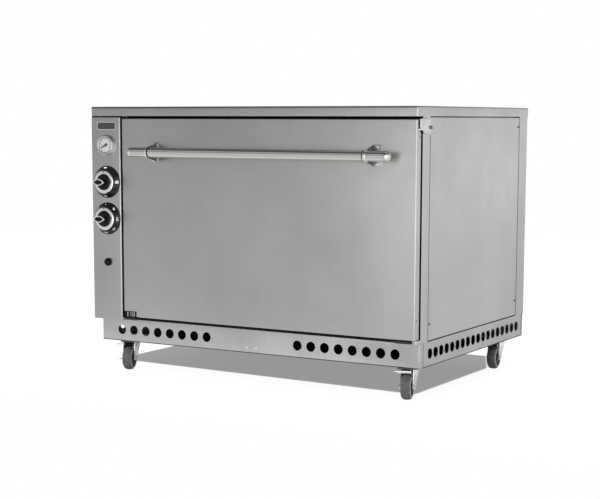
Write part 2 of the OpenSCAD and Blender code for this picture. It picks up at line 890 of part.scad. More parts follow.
module control_panel() {
    color("silver") from_corner() difference() {
        translate([0, 0, control_z0])
            front_pan(control_w, front_reach, control_z1 - control_z0, bend_r);
        rod_y(control_x, -1, sheet_t + 1, gauge_z, gauge_case_d + 2 * hole_clear);
        for (z = [tap_z, thermostat_z])
            rod_y(control_x, -1, sheet_t + 1, z, spindle_d + 4 * hole_clear);
        rod_y(control_x, -1, sheet_t + 1, button_z, barrel_d + 2 * hole_clear);
    }
}

// Plain plate with round corners above the thermometer
module blank_plate() {
    color("dimgray") from_corner() upright_y(-plate_t, 0)
        translate([control_x - plate_w / 2, plate_z - plate_h / 2]) round_rect(plate_w, plate_h, 5);
}

// Fixed cone round each knob
module knob_bezels() {
    color("black") from_corner()
        for (z = [tap_z, thermostat_z])
            translate([control_x, 0, z]) rotate([90, 0, 0])
                rotate_extrude($fn = 64)
                    polygon([[spindle_d, 0], [bezel_d / 2, 0], [bezel_d / 2, 2],
                             [ring_d / 2 + 2, bezel_t], [spindle_d, bezel_t]]);
}

// Knob with its grip level, as it stands when off: spindle, bright ring, round cap and grip
module knob(z) {
    ring_y = bezel_t + 0.5;
    tip = 6;
    translate([control_x, 0, z]) rotate([90, 0, 0]) {
        rotate_extrude($fn = 64)
            polygon([[0, ring_y], [ring_d / 2, ring_y], [ring_d / 2, ring_y + 1],
                     [cap_d / 2, ring_y + ring_t], [cap_d / 2, cap_reach - 3],
                     [cap_d / 2 - 3, cap_reach], [0, cap_reach]]);
        translate([0, 0, -30]) cylinder(h = cap_reach + 30, d = spindle_d);
        translate([0, 0, cap_reach - 1])
            linear_extrude(height = grip_reach - cap_reach + 1)
                polygon([[-grip_l / 2, 0], [-grip_l / 2 + tip, -grip_h / 3], [0, -grip_h / 2],
                         [grip_l / 2 - tip, -grip_h / 3], [grip_l / 2, 0],
                         [grip_l / 2 - tip, grip_h / 3], [0, grip_h / 2],
                         [-grip_l / 2 + tip, grip_h / 3]]);
    }
}

module tap_knob() {
    color("black") from_corner() knob(tap_z);
}

module thermostat_knob() {
    color("black") from_corner() knob(thermostat_z);
}

// Igniter's bezel on the panel and its barrel behind it
module igniter_body() {
    color("black") from_corner() difference() {
        union() {
            rod_y(control_x, -igniter_bezel_t, 0, button_z, igniter_d);
            rod_y(control_x, -eps, 42, button_z, barrel_d);
            rod_y(control_x, sheet_t, sheet_t + 5, button_z, igniter_d);
        }
        rod_y(control_x, -igniter_bezel_t - 1, -1, button_z, button_d + 2 * hole_clear);
        rod_y(control_x, -1, 36, button_z, stem_d + 2 * run_clear);
    }
}

module igniter_button() {
    color("black") from_corner() {
        rod_y(control_x, -button_reach, -1.3 - button_travel, button_z, button_d);
        rod_y(control_x, -igniter_bezel_t, 25, button_z, stem_d);
    }
}

// Thermometer's bright bezel and its case behind the panel
module gauge_case() {
    color("gainsboro") from_corner() difference() {
        union() {
            rod_y(control_x, -gauge_reach, 0, gauge_z, gauge_d);
            rod_y(control_x, -eps, 24, gauge_z, gauge_case_d);
        }
        rod_y(control_x, -gauge_reach - 1, -gauge_reach + 2, gauge_z, gauge_d - 2 * gauge_lip);
        rod_y(control_x, -gauge_reach + 1, 22, gauge_z, gauge_case_d - 2);
    }
}

module gauge_dial() {
    color("white") from_corner() {
        rod_y(control_x, -gauge_reach + 8, -gauge_reach + 9, gauge_z, gauge_case_d - 2.2);
        rod_y(control_x, -gauge_reach + 4, -gauge_reach + 9, gauge_z, needle_post_d);
    }
}

module gauge_glass() {
    color("lightcyan", 0.4) from_corner()
        rod_y(control_x, -gauge_reach + 2, -gauge_reach + 2 + glass_t, gauge_z, gauge_case_d - 2.2);
}

// Pointer and short tail, balanced on the dial's post, pointing to the lower left
module gauge_needle() {
    long = gauge_d * 0.3;
    short = gauge_d * 0.15;
    hub_d = 7;
    color("black") from_corner()
        translate([control_x, -gauge_reach + 6, gauge_z]) rotate([90, 0, 0])
            linear_extrude(height = needle_t) difference() {
                union() {
                    circle(d = hub_d);
                    rotate(210) polygon([[0, -1.6], [long, -0.4], [long, 0.4], [0, 1.6]]);
                    rotate(30) polygon([[0, -2], [short, -3.4], [short, 3.4], [0, 2]]);
                }
                circle(d = needle_post_d + 2 * run_clear);
            }
}

// Capillary tube from the thermometer to its bulb in the chamber
module gauge_probe() {
    color("goldenrod") from_corner() {
        rod_y(control_x, probe_start, probe_y, gauge_z, probe_d);
        translate([control_x, probe_y, gauge_z]) sphere(d = probe_d);
        rod_z(control_x, probe_y, probe_z, gauge_z, probe_d);
        translate([control_x, probe_y, probe_z]) sphere(d = probe_d);
        rod_x(control_x, ch_x0 + bulb_in, probe_y, probe_z, probe_d);
        rod_x(ch_x0 + bulb_in, ch_x0 + bulb_in + bulb_l, probe_y, probe_z, bulb_d);
    }
}

// Door

module door_skin() {
    color("silver") from_corner()
        translate([door_x0, 0, door_z0])
            front_pan(door_x1 - door_x0, door_t, door_z1 - door_z0, bend_r);
}

module door_inner() {
    in = sheet_t + 0.1;
    color("gainsboro") from_corner()
        block([door_x0 + in, door_t - sheet_t, door_z0 + in],
              [door_x1 - in, door_t, door_z1 - in]);
}

module door_insulation() {
    in = bend_r;
    color("khaki") from_corner()
        block([door_x0 + in, sheet_t, door_z0 + in],
              [door_x1 - in, door_t - sheet_t, door_z1 - in]);
}

module door_seal() {
    out = seal_out + seal_w;
    color("dimgray") from_corner() difference() {
        block([ch_x0 - out, door_t, ch_z0 - out], [ch_x1 + out, front_reach, ch_z1 + out]);
        block([ch_x0 - seal_out, door_t - 1, ch_z0 - seal_out],
              [ch_x1 + seal_out, front_reach + 1, ch_z1 + seal_out]);
    }
}

module handle_tube() {
    color("gainsboro") from_corner() difference() {
        rod_x(door_mid - handle_l / 2, door_mid + handle_l / 2, -handle_reach, handle_z, handle_d);
        rod_x(door_mid - handle_l / 2 - 1, door_mid + handle_l / 2 + 1,
              -handle_reach, handle_z, handle_d - 2 * handle_wall);
    }
}

// Domed cap on each end of the tube, with a plug inside it
module handle_caps() {
    straight = 4;
    rise = end_cap_l - straight;
    dome_r = (pow(handle_d / 2, 2) + pow(rise, 2)) / (2 * rise);
    color("gainsboro") from_corner()
        for (side = [-1, 1])
            translate([door_mid + side * handle_l / 2, -handle_reach, handle_z])
                rotate([0, side * 90, 0]) {
                    intersection() {
                        cylinder(h = end_cap_l, d = handle_d);
                        translate([0, 0, end_cap_l - dome_r]) sphere(r = dome_r);
                    }
                    translate([0, 0, -10]) cylinder(h = 12, d = handle_d - 2 * handle_wall);
                }
}

// Bracket with a broad foot on the door, narrowing to a sleeve round the tube
module handle_brackets() {
    color("silver") from_corner() {
        translate([door_mid + bracket_span / 2, 0, handle_z]) bracket();
        translate([door_mid - bracket_span / 2, 0, handle_z]) mirror([1, 0, 0]) bracket();
    }
}

// The right bracket, built round the middle of its collar's plane
module bracket() {
    difference() {
        union() {
            translate([-foot_in, 0, -bracket_foot / 2]) rotate([90, 0, 0])
                linear_extrude(height = foot_t) round_rect(foot_w, bracket_foot, foot_r);
            upright_x(-bracket_t / 2, bracket_t / 2)
                polygon([[-1, -bracket_foot / 2 + 2], [-1, bracket_foot / 2 - 2],
                         [-handle_reach, sleeve_d / 2], [-handle_reach, -sleeve_d / 2]]);
            rod_x(-collar_l / 2, collar_l / 2, -handle_reach, 0, sleeve_d);
        }
        rod_x(-foot_w, foot_w, -handle_reach, 0, handle_d);
    }
}

// Round-head screws of the handle's feet, and those in the door's right edge
module door_fasteners() {
    color("white") from_corner() {
        for (side = [-1, 1], up = [-1, 1])
            translate([door_mid + side * (bracket_span / 2 + foot_w / 2 - foot_in), -foot_t,
                       handle_z + up * (bracket_foot / 2 - foot_screw_in)])
                rotate([90, 0, 0]) cylinder(h = screw_head, d = screw_d);
        rod_x(door_x1, door_x1 + edge_head, edge_low[0], door_z0 + edge_low[1], edge_screw_d);
        rod_x(door_x1, door_x1 + edge_head, edge_high[0], door_z1 - edge_high[1], edge_screw_d);
    }
}

// One knuckle of a hinge, counted from its left end
module knuckle(x, k) {
    pitch = hinge_l / knuckle_count;
    rod_x(x + k * pitch + knuckle_gap / 2, x + (k + 1) * pitch - knuckle_gap / 2,
          hinge_y, hinge_z, knuckle_d);
}

// Space round one knuckle, as wide as the knuckle
module knuckle_slab(x, k, low, high) {
    pitch = hinge_l / knuckle_count;
    block([x + k * pitch + knuckle_gap / 2, low.x, low.y],
          [x + (k + 1) * pitch - knuckle_gap / 2, high.x, high.y]);
}

// The cabinet's half of both hinges: outer and middle knuckles on a plate under the sill
module hinge_seats() {
    color("dimgray") from_corner()
        for (x = hinge_xs) difference() {
            union() {
                for (k = [0, 2, 4]) {
                    knuckle(x, k);
                    knuckle_slab(x, k, [hinge_y, sill_z0 - leaf_t], [sill_y + 1, sill_z0]);
                }
                block([x, sill_y, sill_z0 - leaf_t], [x + hinge_l, front_reach, sill_z0]);
            }
            rod_x(x - 1, x + hinge_l + 1, hinge_y, hinge_z, hinge_pin_d + 2 * run_clear);
        }
}

// The door's half of both hinges, with the pins
module hinge_leaves() {
    color("silver") from_corner()
        for (x = hinge_xs) {
            for (k = [1, 3]) {
                knuckle(x, k);
                knuckle_slab(x, k, [hinge_y - leaf_t, hinge_z], [hinge_y + leaf_t, door_z0]);
            }
            rod_x(x, x + hinge_l, hinge_y, hinge_z, hinge_pin_d);
        }
}

// Latch

module latch_pin() {
    color("white") from_corner()
        rod_x(door_x1, latch_x + latch_t + 2, latch_pin_y, latch_z, latch_pin_d);
}

// Swinging plate whose corner sits over the door's pin, with a finger tab bent out at its top
module door_latch() {
    plate_top = pivot_z + 27;
    plate_bottom = pivot_z - 17;
    tab_reach = 8;
    color("gainsboro") from_corner() {
        upright_x(latch_x, latch_x + latch_t) difference() {
            polygon([[latch_pin_y - 4, plate_top - 2], [latch_pin_y - 4, latch_z],
                     [latch_pin_y + notch_r - 0.3, latch_z], [latch_pin_y + 18, plate_bottom],
                     [pivot_y + 2, plate_bottom - 3], [pivot_y + 7, plate_bottom + 4],
                     [pivot_y + 7, plate_top - 6], [pivot_y + 2, plate_top]]);
            translate([latch_pin_y, latch_z]) circle(r = notch_r);
            translate([latch_pin_y - 10, latch_z - 10]) square([10, 10 + notch_r]);
            translate([pivot_y, pivot_z]) circle(d = pivot_d + 2 * run_clear);
        }
        block([latch_x, pivot_y - 34, plate_top - 3], [latch_x + tab_reach, pivot_y, plate_top]);
    }
}

// Side panel screws, the latch's pivot screw and the casters' bolts
module cabinet_fasteners() {
    color("white") from_corner() {
        for (y = [panel_y0 + screw_in, panel_y1 - screw_in],
             z = [panel_z0 + screw_up, panel_z1 - screw_down]) {
            rod_x(body_x0 - screw_head, body_x0, y, z, screw_d);
            rod_x(body_x1, body_x1 + screw_head, y, z, screw_d);
        }
        rod_x(body_x1, latch_x + latch_t + 0.4, pivot_y, pivot_z, pivot_d);
        rod_x(latch_x + latch_t + 0.4, latch_x + latch_t + 3, pivot_y, pivot_z, pivot_d + 5);
    }
}

// Casters

module caster_plates() {
    color("gainsboro") from_corner()
        for (c = casters) translate([c.x, c.y, 0]) {
            translate([-mount_w / 2, -mount_w / 2, z_base - mount_t])
                linear_extrude(height = mount_t) round_rect(mount_w, mount_w, 8);
            rod_z(0, 0, crown_z1 + 0.3, z_base - mount_t, race_d);
            rod_z(0, 0, crown_z0 - 2, crown_z1 + 1, swivel_d);
            rod_z(0, 0, crown_z0 - 5, crown_z0 - 0.3, swivel_d + 8);
        }
}

// Places a shape built round the swivel axis, with the wheel trailing to the front
module at_caster(c) {
    from_corner() translate([c.x, c.y, 0]) rotate([0, 0, c.z]) children();
}

// Swivel fork: a crown plate, two tapering legs folded down from it and the axle bolt
module fork(c) {
    color("white") at_caster(c) {
        translate([0, 0, crown_z0]) linear_extrude(height = crown_t) difference() {
            union() {
                circle(d = crown_d);
                translate([-crown_d / 2, -crown_d / 2]) square([crown_d, crown_d / 2]);
                polygon([[-crown_d / 2 + 1, -crown_d / 2 + lip_w],
                         [-crown_d / 2 - lip_l, -crown_d / 2 - 2],
                         [-crown_d / 2 - lip_l + 4, -crown_d / 2 - 6],
                         [-crown_d / 2 + 12, -crown_d / 2 - 4], [-crown_d / 2 + 16, -crown_d / 2 + 1]]);
            }
            circle(d = swivel_d + 2 * run_clear);
        }
        for (side = [-1, 1])
            upright_x(side < 0 ? -leg_x - leg_t : leg_x, side < 0 ? -leg_x : leg_x + leg_t)
                fork_leg();
        rod_x(-leg_x - leg_t - 4, leg_x + leg_t + 4, -trail, axle_z, axle_d);
        for (side = [-1, 1])
            translate([side < 0 ? -leg_x - leg_t - 4 : leg_x + leg_t, -trail, axle_z])
                rotate([0, 90, 0]) cylinder(h = 4, d = axle_d + 6, $fn = 6);
    }
}

module fork_leg() {
    translate([-trail, axle_z]) circle(r = leg_foot_r);
    polygon([[-trail - leg_foot_r, axle_z], [-crown_d / 2, crown_z0 + crown_t],
             [crown_d / 2 - leg_back, crown_z0 + crown_t], [-trail + leg_foot_r, axle_z - 2]]);
}

module fork_fl() { fork(casters[0]); }
module fork_fr() { fork(casters[1]); }
module fork_rl() { fork(casters[2]); }
module fork_rr() { fork(casters[3]); }

// Wheel with a rounded tread and a recessed hub
module wheel(c) {
    r = wheel_d / 2;
    hw = wheel_w / 2;
    color("dimgray") at_caster(c)
        translate([0, -trail, axle_z]) rotate([0, 90, 0]) rotate_extrude($fn = 64)
            polygon([[axle_d / 2 + run_clear, -hw - 1], [10, -hw - 1], [11, -hw + 4],
                     [hub_d / 2 - 3, -hw + 4], [hub_d / 2, -hw], [r - 6, -hw], [r - 1.5, -hw + 5],
                     [r, 0], [r - 1.5, hw - 5], [r - 6, hw], [hub_d / 2, hw],
                     [hub_d / 2 - 3, hw - 4], [11, hw - 4], [10, hw + 1],
                     [axle_d / 2 + run_clear, hw + 1]]);
}

module wheel_fl() { wheel(casters[0]); }
module wheel_fr() { wheel(casters[1]); }
module wheel_rl() { wheel(casters[2]); }
module wheel_rr() { wheel(casters[3]); }

worktop();
control_panel();
blank_plate();
knob_bezels();
gauge_case();
gauge_dial();
gauge_glass();
gauge_probe();
side_panel_left();
side_panel_right();
front_posts();
rear_posts();
back_panel();
sill();
front_frame();
oven_liner();
oven_insulation();
sole_plate();
rack_guides();
rack_rails();
wire_shelf();
drip_tray();
burners();
supply_pipe();
gas_manifold();
gas_tap();
thermostat();
igniter_body();
pilot_burner();
flue_duct();
base_front();
base_sides();
base_rear();
base_crossbars();
caster_plates();
cabinet_fasteners();
hinge_seats();
door_skin();
door_inner();
door_insulation();
door_seal();
handle_tube();
handle_caps();
handle_brackets();
door_fasteners();
hinge_leaves();
latch_pin();
door_latch();
tap_knob();
thermostat_knob();
igniter_button();
gauge_needle();
fork_fl();
fork_fr();
fork_rl();
fork_rr();
wheel_fl();
wheel_fr();
wheel_rl();
wheel_rr();
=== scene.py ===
# Looks of a gas roasting oven on casters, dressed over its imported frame.
# Lengths below are in millimetres from the cabinet's left front corner on the floor,
# as in the part's source; at() turns them into the frame's metres.
import json
import math

import bmesh
import bpy
from mathutils import Matrix, Vector


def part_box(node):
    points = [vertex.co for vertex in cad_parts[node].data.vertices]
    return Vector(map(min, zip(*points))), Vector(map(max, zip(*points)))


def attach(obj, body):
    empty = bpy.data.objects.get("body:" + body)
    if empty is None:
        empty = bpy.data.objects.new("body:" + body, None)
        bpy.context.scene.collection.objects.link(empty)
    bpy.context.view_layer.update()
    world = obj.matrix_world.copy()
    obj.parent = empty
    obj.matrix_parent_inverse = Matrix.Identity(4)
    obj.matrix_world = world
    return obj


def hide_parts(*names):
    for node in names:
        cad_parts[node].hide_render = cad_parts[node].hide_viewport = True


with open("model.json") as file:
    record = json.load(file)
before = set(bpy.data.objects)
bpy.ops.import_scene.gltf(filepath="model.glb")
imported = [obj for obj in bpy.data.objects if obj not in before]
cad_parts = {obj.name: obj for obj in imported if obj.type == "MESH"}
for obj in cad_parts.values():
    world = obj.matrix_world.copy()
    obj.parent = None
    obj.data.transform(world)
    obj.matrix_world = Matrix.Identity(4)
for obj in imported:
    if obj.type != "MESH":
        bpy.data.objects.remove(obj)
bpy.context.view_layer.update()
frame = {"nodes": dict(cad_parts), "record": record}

MM = 0.001
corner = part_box("worktop")[0]


def at(x, y, z):
    return Vector((corner[0] + x * MM, corner[1] + y * MM, z * MM))


def box_mm(node):
    """A node's lowest and highest corners in millimetres from the cabinet's corner."""
    low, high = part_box(node)
    shift = Vector((corner[0], corner[1], 0))
    return (Vector(low) - shift) / MM, (Vector(high) - shift) / MM


# Camera at the photograph's viewing angle

FOCAL_PX = 1455.24
IMAGE_W = 600
AXIS_BELOW_CENTRE = 62.5

camera_data = bpy.data.cameras.new("camera")
camera_data.sensor_width = 36
camera_data.lens = FOCAL_PX / IMAGE_W * camera_data.sensor_width
camera_data.shift_y = AXIS_BELOW_CENTRE / IMAGE_W
camera_data.clip_end = 60
camera = bpy.data.objects.new("camera", camera_data)
right = Vector((0.862354, 0.506302, 0.001973))
up = Vector((-0.068247, 0.112378, 0.991319))
back = Vector((0.501685, -0.855003, 0.131463))
camera.matrix_world = Matrix.Translation((2.45903, -4.27298, 0.84917)) @ Matrix(
    (right, up, back)).transposed().to_4x4()
bpy.context.scene.collection.objects.link(camera)
bpy.context.scene.camera = camera
bpy.context.scene.view_settings.view_transform = "Standard"


# Node helpers

def node_material(name):
    material = bpy.data.materials.new(name)
    material.use_nodes = True
    tree = material.node_tree
    shader = tree.nodes["Principled BSDF"]
    return material, tree, shader


def noise(tree, scale, stretch=(1, 1, 1), detail=3, roughness=0.5):
    """Noise in object space, stretched along the axes, as a 0 to 1 output."""
    coords = tree.nodes.new("ShaderNodeTexCoord")
    mapping = tree.nodes.new("ShaderNodeMapping")
    mapping.inputs["Scale"].default_value = stretch
    tree.links.new(coords.outputs["Object"], mapping.inputs["Vector"])
    texture = tree.nodes.new("ShaderNodeTexNoise")
    texture.inputs["Scale"].default_value = scale
    texture.inputs["Detail"].default_value = detail
    texture.inputs["Roughness"].default_value = roughness
    tree.links.new(mapping.outputs["Vector"], texture.inputs["Vector"])
    return texture.outputs["Fac"]


def spread(tree, value, low, high, start=0.3, end=0.7):
    """Maps a noise value to a range."""
    node = tree.nodes.new("ShaderNodeMapRange")
    node.inputs["From Min"].default_value = start
    node.inputs["From Max"].default_value = end
    node.inputs["To Min"].default_value = low
    node.inputs["To Max"].default_value = high
    tree.links.new(value, node.inputs["Value"])
    return node.outputs["Result"]


def feed(tree, socket, value):
    """Sets a socket to a plain value or links another socket to it."""
    if isinstance(value, bpy.types.NodeSocket):
        tree.links.new(value, socket)
    else:
        socket.default_value = value


def maths(tree, operation, *values):
    node = tree.nodes.new("ShaderNodeMath")
    node.operation = operation
    for socket, value in zip(node.inputs, values):
        feed(tree, socket, value)
    return node.outputs["Value"]


def times(tree, a, b):
    return maths(tree, "MULTIPLY", a, b)


def coordinates(tree, kind):
    """X, Y and Z of a texture coordinate, as sockets."""
    coords = tree.nodes.new("ShaderNodeTexCoord")
    split = tree.nodes.new("ShaderNodeSeparateXYZ")
    tree.links.new(coords.outputs[kind], split.inputs["Vector"])
    return [split.outputs[axis] for axis in "XYZ"]


def shaded(tree, colour, factor):
    """The colour, made lighter and darker by a factor."""
    node = tree.nodes.new("ShaderNodeVectorMath")
    node.operation = "SCALE"
    feed(tree, node.inputs[0], colour)
    tree.links.new(factor, node.inputs["Scale"])
    return node.outputs["Vector"]


def bump(tree, shader, height, strength, distance=0.0004):
    node = tree.nodes.new("ShaderNodeBump")
    node.inputs["Strength"].default_value = strength
    node.inputs["Distance"].default_value = distance
    tree.links.new(height, node.inputs["Height"])
    tree.links.new(node.outputs["Normal"], shader.inputs["Normal"])


def steel(name, colour, rough, grain=(600, 600, 8), streak=0.05, smudge=0.06, wear=0.05):
    """Sheet steel: fine grain along one axis, broad smudges, and a roughness that wanders."""
    material, tree, shader = node_material(name)
    fine = noise(tree, 1.0, grain, detail=2, roughness=0.6)
    broad = noise(tree, 3.5, detail=4, roughness=0.55)
    level = times(tree, spread(tree, fine, 1 - streak, 1 + streak),
                  spread(tree, broad, 1 - smudge, 1 + smudge))
    tree.links.new(shaded(tree, colour, level), shader.inputs["Base Color"])
    patches = noise(tree, 9.0, detail=5, roughness=0.6)
    tree.links.new(spread(tree, patches, rough - wear, rough + wear), shader.inputs["Roughness"])
    shader.inputs["Metallic"].default_value = 1.0
    bump(tree, shader, fine, 0.05)
    return material


def faded(name, colour, rough, grain, start, end, level, smudge):
    """Sheet steel with painted light: its tone changes to a level between two places along X, in metres.
    """
    material = steel(name, colour, rough, grain, 0.03, smudge)
    tree = material.node_tree
    shader = tree.nodes["Principled BSDF"]
    fade = spread(tree, coordinates(tree, "Object")[0], 1.0, level, start, end)
    base = shader.inputs["Base Color"]
    tree.links.new(shaded(tree, base.links[0].from_socket, fade), base)
    return material


def coated(name, colour, rough, metallic=0.0, mottle=0.06, scale=60, depth=0.03, coat=0.0,
           level=0.5):
    """Paint, plastic, enamel or rubber with a fine uneven surface."""
    material, tree, shader = node_material(name)
    grain = noise(tree, scale, detail=6, roughness=0.6)
    tree.links.new(shaded(tree, colour, spread(tree, grain, 1 - mottle, 1 + mottle)),
                   shader.inputs["Base Color"])
    tree.links.new(spread(tree, grain, rough - 0.04, rough + 0.04), shader.inputs["Roughness"])
    shader.inputs["Metallic"].default_value = metallic
    shader.inputs["Coat Weight"].default_value = coat
    shader.inputs["Specular IOR Level"].default_value = level
    bump(tree, shader, grain, depth)
    return material


# Materials, one for each slot of the record

ALONG_X = (8, 600, 600)
ALONG_Y = (600, 8, 600)
ALONG_Z = (600, 600, 8)

materials = {
    "brushed_steel": steel("brushed_steel", (0.54, 0.53, 0.52), 0.34, ALONG_Z, 0.02, 0.08),
    "satin_steel": steel("satin_steel", (0.60, 0.59, 0.59), 0.38, ALONG_Z, 0.02, 0.04),
    "base_steel": steel("base_steel", (0.52, 0.52, 0.51), 0.36, ALONG_X, 0.03, 0.12),
    "polished_steel": steel("polished_steel", (0.78, 0.78, 0.76), 0.12, ALONG_X, 0.02, 0.02, 0.02),
    "bright_steel": steel("bright_steel", (0.72, 0.71, 0.71), 0.32, ALONG_Y, smudge=0.04),
    "liner_steel": steel("liner_steel", (0.42, 0.41, 0.39), 0.35, ALONG_Z),
    "galvanised": steel("galvanised", (0.52, 0.54, 0.55), 0.42, (40, 40, 40), 0.10, 0.08),
    "dark_steel": steel("dark_steel", (0.08, 0.08, 0.078), 0.45, ALONG_X),
    "zinc": steel("zinc", (0.86, 0.87, 0.88), 0.28, (90, 90, 90), 0.03, 0.04),
    "chrome": steel("chrome", (0.95, 0.95, 0.94), 0.14, (60, 60, 60), 0.01, 0.01, 0.02),
    "plate_dark": coated("plate_dark", (0.05, 0.05, 0.05), 0.25, coat=0.3),
    "black_enamel": coated("black_enamel", (0.008, 0.008, 0.008), 0.22, coat=0.1, level=0.3),
    "dial_white": coated("dial_white", (0.98, 0.98, 0.97), 0.5, mottle=0.005),
    "brass": steel("brass", (0.60, 0.46, 0.22), 0.35, (80, 80, 80)),
    "mineral_wool": coated("mineral_wool", (0.60, 0.54, 0.34), 0.9, mottle=0.3, scale=300, depth=0.8),
    "cast_plate": steel("cast_plate", (0.16, 0.155, 0.15), 0.55, (120, 120, 120), 0.12, 0.2),
    "bright_wire": steel("bright_wire", (0.66, 0.66, 0.65), 0.22, (50, 50, 50), 0.02, 0.04),
    "enamel_grey": coated("enamel_grey", (0.045, 0.05, 0.06), 0.25, scale=220, coat=0.4),
    "burner_steel": steel("burner_steel", (0.30, 0.25, 0.20), 0.45, ALONG_X, 0.08, 0.25),
    "black_plastic": coated("black_plastic", (0.006, 0.006, 0.006), 0.2, coat=0.05, level=0.2),
    "black_rubber": coated("black_rubber", (0.02, 0.02, 0.02), 0.75, scale=240, depth=0.3),
    "needle_black": coated("needle_black", (0.01, 0.01, 0.01), 0.6),
    "wheel_rubber": coated("wheel_rubber", (0.155, 0.155, 0.15), 0.6, mottle=0.3, depth=0.2,
                           level=0.3),
}

glass, tree, shader = node_material("glass")
shader.inputs["Base Color"].default_value = (0.8, 0.82, 0.84, 1)
shader.inputs["Roughness"].default_value = 0.03
shader.inputs["Alpha"].default_value = 0.06
bump(tree, shader, noise(tree, 40), 0.01)
materials["glass"] = glass

mark_white = coated("mark_white", (0.85, 0.85, 0.83), 0.5, mottle=0.02)
hub_dark = coated("hub_dark", (0.035, 0.035, 0.035), 0.5, mottle=0.1)
mark_grey = coated("mark_grey", (0.34, 0.34, 0.34), 0.5, mottle=0.02)
# Black for pieces that stand for shade: painted shade in gaps, recesses and under parts
painted_shade_black = coated("painted_shade_black", (0.012, 0.012, 0.012), 0.8, mottle=0.2, level=0.1)
# Dark steel for screws, and as painted shade on the lid's bend, the handle webs and the casters' plates,
# crowns and left legs
screw_dark_and_painted_shade = steel("screw_dark_and_painted_shade", (0.16, 0.16, 0.155), 0.4, (90, 90, 90), 0.03, 0.1)
bracket_steel = steel("bracket_steel", (0.54, 0.54, 0.53), 0.34, ALONG_Z, 0.02, 0.05)
# Bright steel; on the side vent lips it is a painted highlight
lip_bright = steel("lip_bright", (0.90, 0.90, 0.89), 0.3, (90, 90, 90), 0.03, 0.04)
rim_light = coated("rim_light", (0.62, 0.62, 0.61), 0.4, mottle=0.05)
# Light paint on the front vent lips: a painted highlight
lip_painted_highlight = coated("lip_painted_highlight", (0.86, 0.86, 0.85), 0.45, mottle=0.05)
gauge_steel = steel("gauge_steel", (0.62, 0.62, 0.61), 0.3, (60, 60, 60), 0.01, 0.02)
# Dark grey for lines along the base's edges: painted shade
edge_painted_shade = coated("edge_painted_shade", (0.06, 0.06, 0.06), 0.6, mottle=0.1, level=0.2)

# The base front's steel is lighter than the side sheets' and darker towards its right end, and the door's
# steel is lighter towards its right edge: both are painted light
base_front_steel = faded("base_front_steel", (0.68, 0.68, 0.67), 0.36, (60, 60, 3), 0.30, 0.56,
                         0.78, 0.12)
door_steel = faded("door_steel", (0.55, 0.545, 0.535), 0.34, ALONG_Z, 0.40, 0.60, 1.06, 0.06)

for entry in frame["record"]["subparts"]:
    mesh = frame["nodes"][entry["node"]].data
    mesh.materials.clear()
    mesh.materials.append(materials[entry["material_slot"]])


# Mesh helpers

def piece(name, bm, material, body="cabinet", node=None, angle=32):
    """Makes an object of a bmesh, rides it on a body and hides the node it stands for."""
    bmesh.ops.recalc_face_normals(bm, faces=bm.faces)
    mesh = bpy.data.meshes.new(name)
    bm.to_mesh(mesh)
    bm.free()
    for polygon in mesh.polygons:
        polygon.use_smooth = True
    mesh.set_sharp_from_angle(angle=math.radians(angle))
    mesh.materials.append(material)
    obj = bpy.data.objects.new(name, mesh)
    bpy.context.scene.collection.objects.link(obj)
    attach(obj, body)
    if node:
        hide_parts(node)
    return obj


def joined(parts):
    """One bmesh of several."""
    whole = bmesh.new()
    for part in parts:
        mesh = bpy.data.meshes.new("part")
        part.to_mesh(mesh)
        part.free()
        whole.from_mesh(mesh)
        bpy.data.meshes.remove(mesh)
    return whole


def block(low, high):
    """Plain six-sided mesh between two corners."""
    bm = bmesh.new()
    bmesh.ops.create_cube(bm, size=1)
    for vert in bm.verts:
        share = vert.co + Vector((0.5, 0.5, 0.5))
        vert.co = at(*(low[k] + share[k] * (high[k] - low[k]) for k in range(3)))
    return bm


def rounded_box(low, high, radius, segments=3):
    bm = block(Vector(low), Vector(high))
    bmesh.ops.bevel(bm, geom=bm.edges[:], offset=radius * MM, segments=segments,
                    affect="EDGES", profile=0.5)
    return bm


def folded_pan(low, high, radius, thick, open_side):
    """A box of bent sheet, open on one side, given as axis and sign, with rounded bends."""
    axis, sign = open_side
    low, high = Vector(low), Vector(high)
    bm = block(low, high)
    bm.normal_update()
    lid = max(bm.faces, key=lambda face: face.normal[axis] * sign)
    edges = [edge for edge in bm.edges if lid not in edge.link_faces]
    bmesh.ops.bevel(bm, geom=edges, offset=radius * MM, segments=4, affect="EDGES", profile=0.5)
    bm.normal_update()
    lids = [face for face in bm.faces if face.normal[axis] * sign > 0.99]
    bmesh.ops.delete(bm, geom=lids, context="FACES")
    bmesh.ops.recalc_face_normals(bm, faces=bm.faces)
    bm.normal_update()
    middle = at(*((low + high) / 2))
    probe = max(bm.faces, key=lambda face: face.calc_area())
    if probe.normal.dot(probe.calc_center_median() - middle) < 0:
        bmesh.ops.reverse_faces(bm, faces=bm.faces)
    bmesh.ops.solidify(bm, geom=bm.faces[:], thickness=thick * MM)
    return bm


def punched(sheet, cutters):
    """The sheet with the cutters' shapes cut away."""
    objects = []
    for part in (sheet, cutters):
        bmesh.ops.recalc_face_normals(part, faces=part.faces)
        mesh = bpy.data.meshes.new("part")
        part.to_mesh(mesh)
        part.free()
        objects.append(bpy.data.objects.new("part", mesh))
        bpy.context.scene.collection.objects.link(objects[-1])
    holes = objects[0].modifiers.new("holes", "BOOLEAN")
    holes.operation = "DIFFERENCE"
    holes.solver = "EXACT"
    holes.object = objects[1]
    bpy.context.view_layer.update()
    graph = bpy.context.evaluated_depsgraph_get()
    result = bmesh.new()
    result.from_mesh(objects[0].evaluated_get(graph).to_mesh())
    for obj in objects:
        mesh = obj.data
        bpy.data.objects.remove(obj)
        bpy.data.meshes.remove(mesh)
    return result


def polar(radius, degrees):
    turn = math.radians(degrees)
    return radius * math.cos(turn), radius * math.sin(turn)


def arc(cx, cy, radius, angles):
    """Points on a circle at the given angles, in degrees."""
    return [(cx + u, cy + v) for u, v in (polar(radius, angle) for angle in angles)]


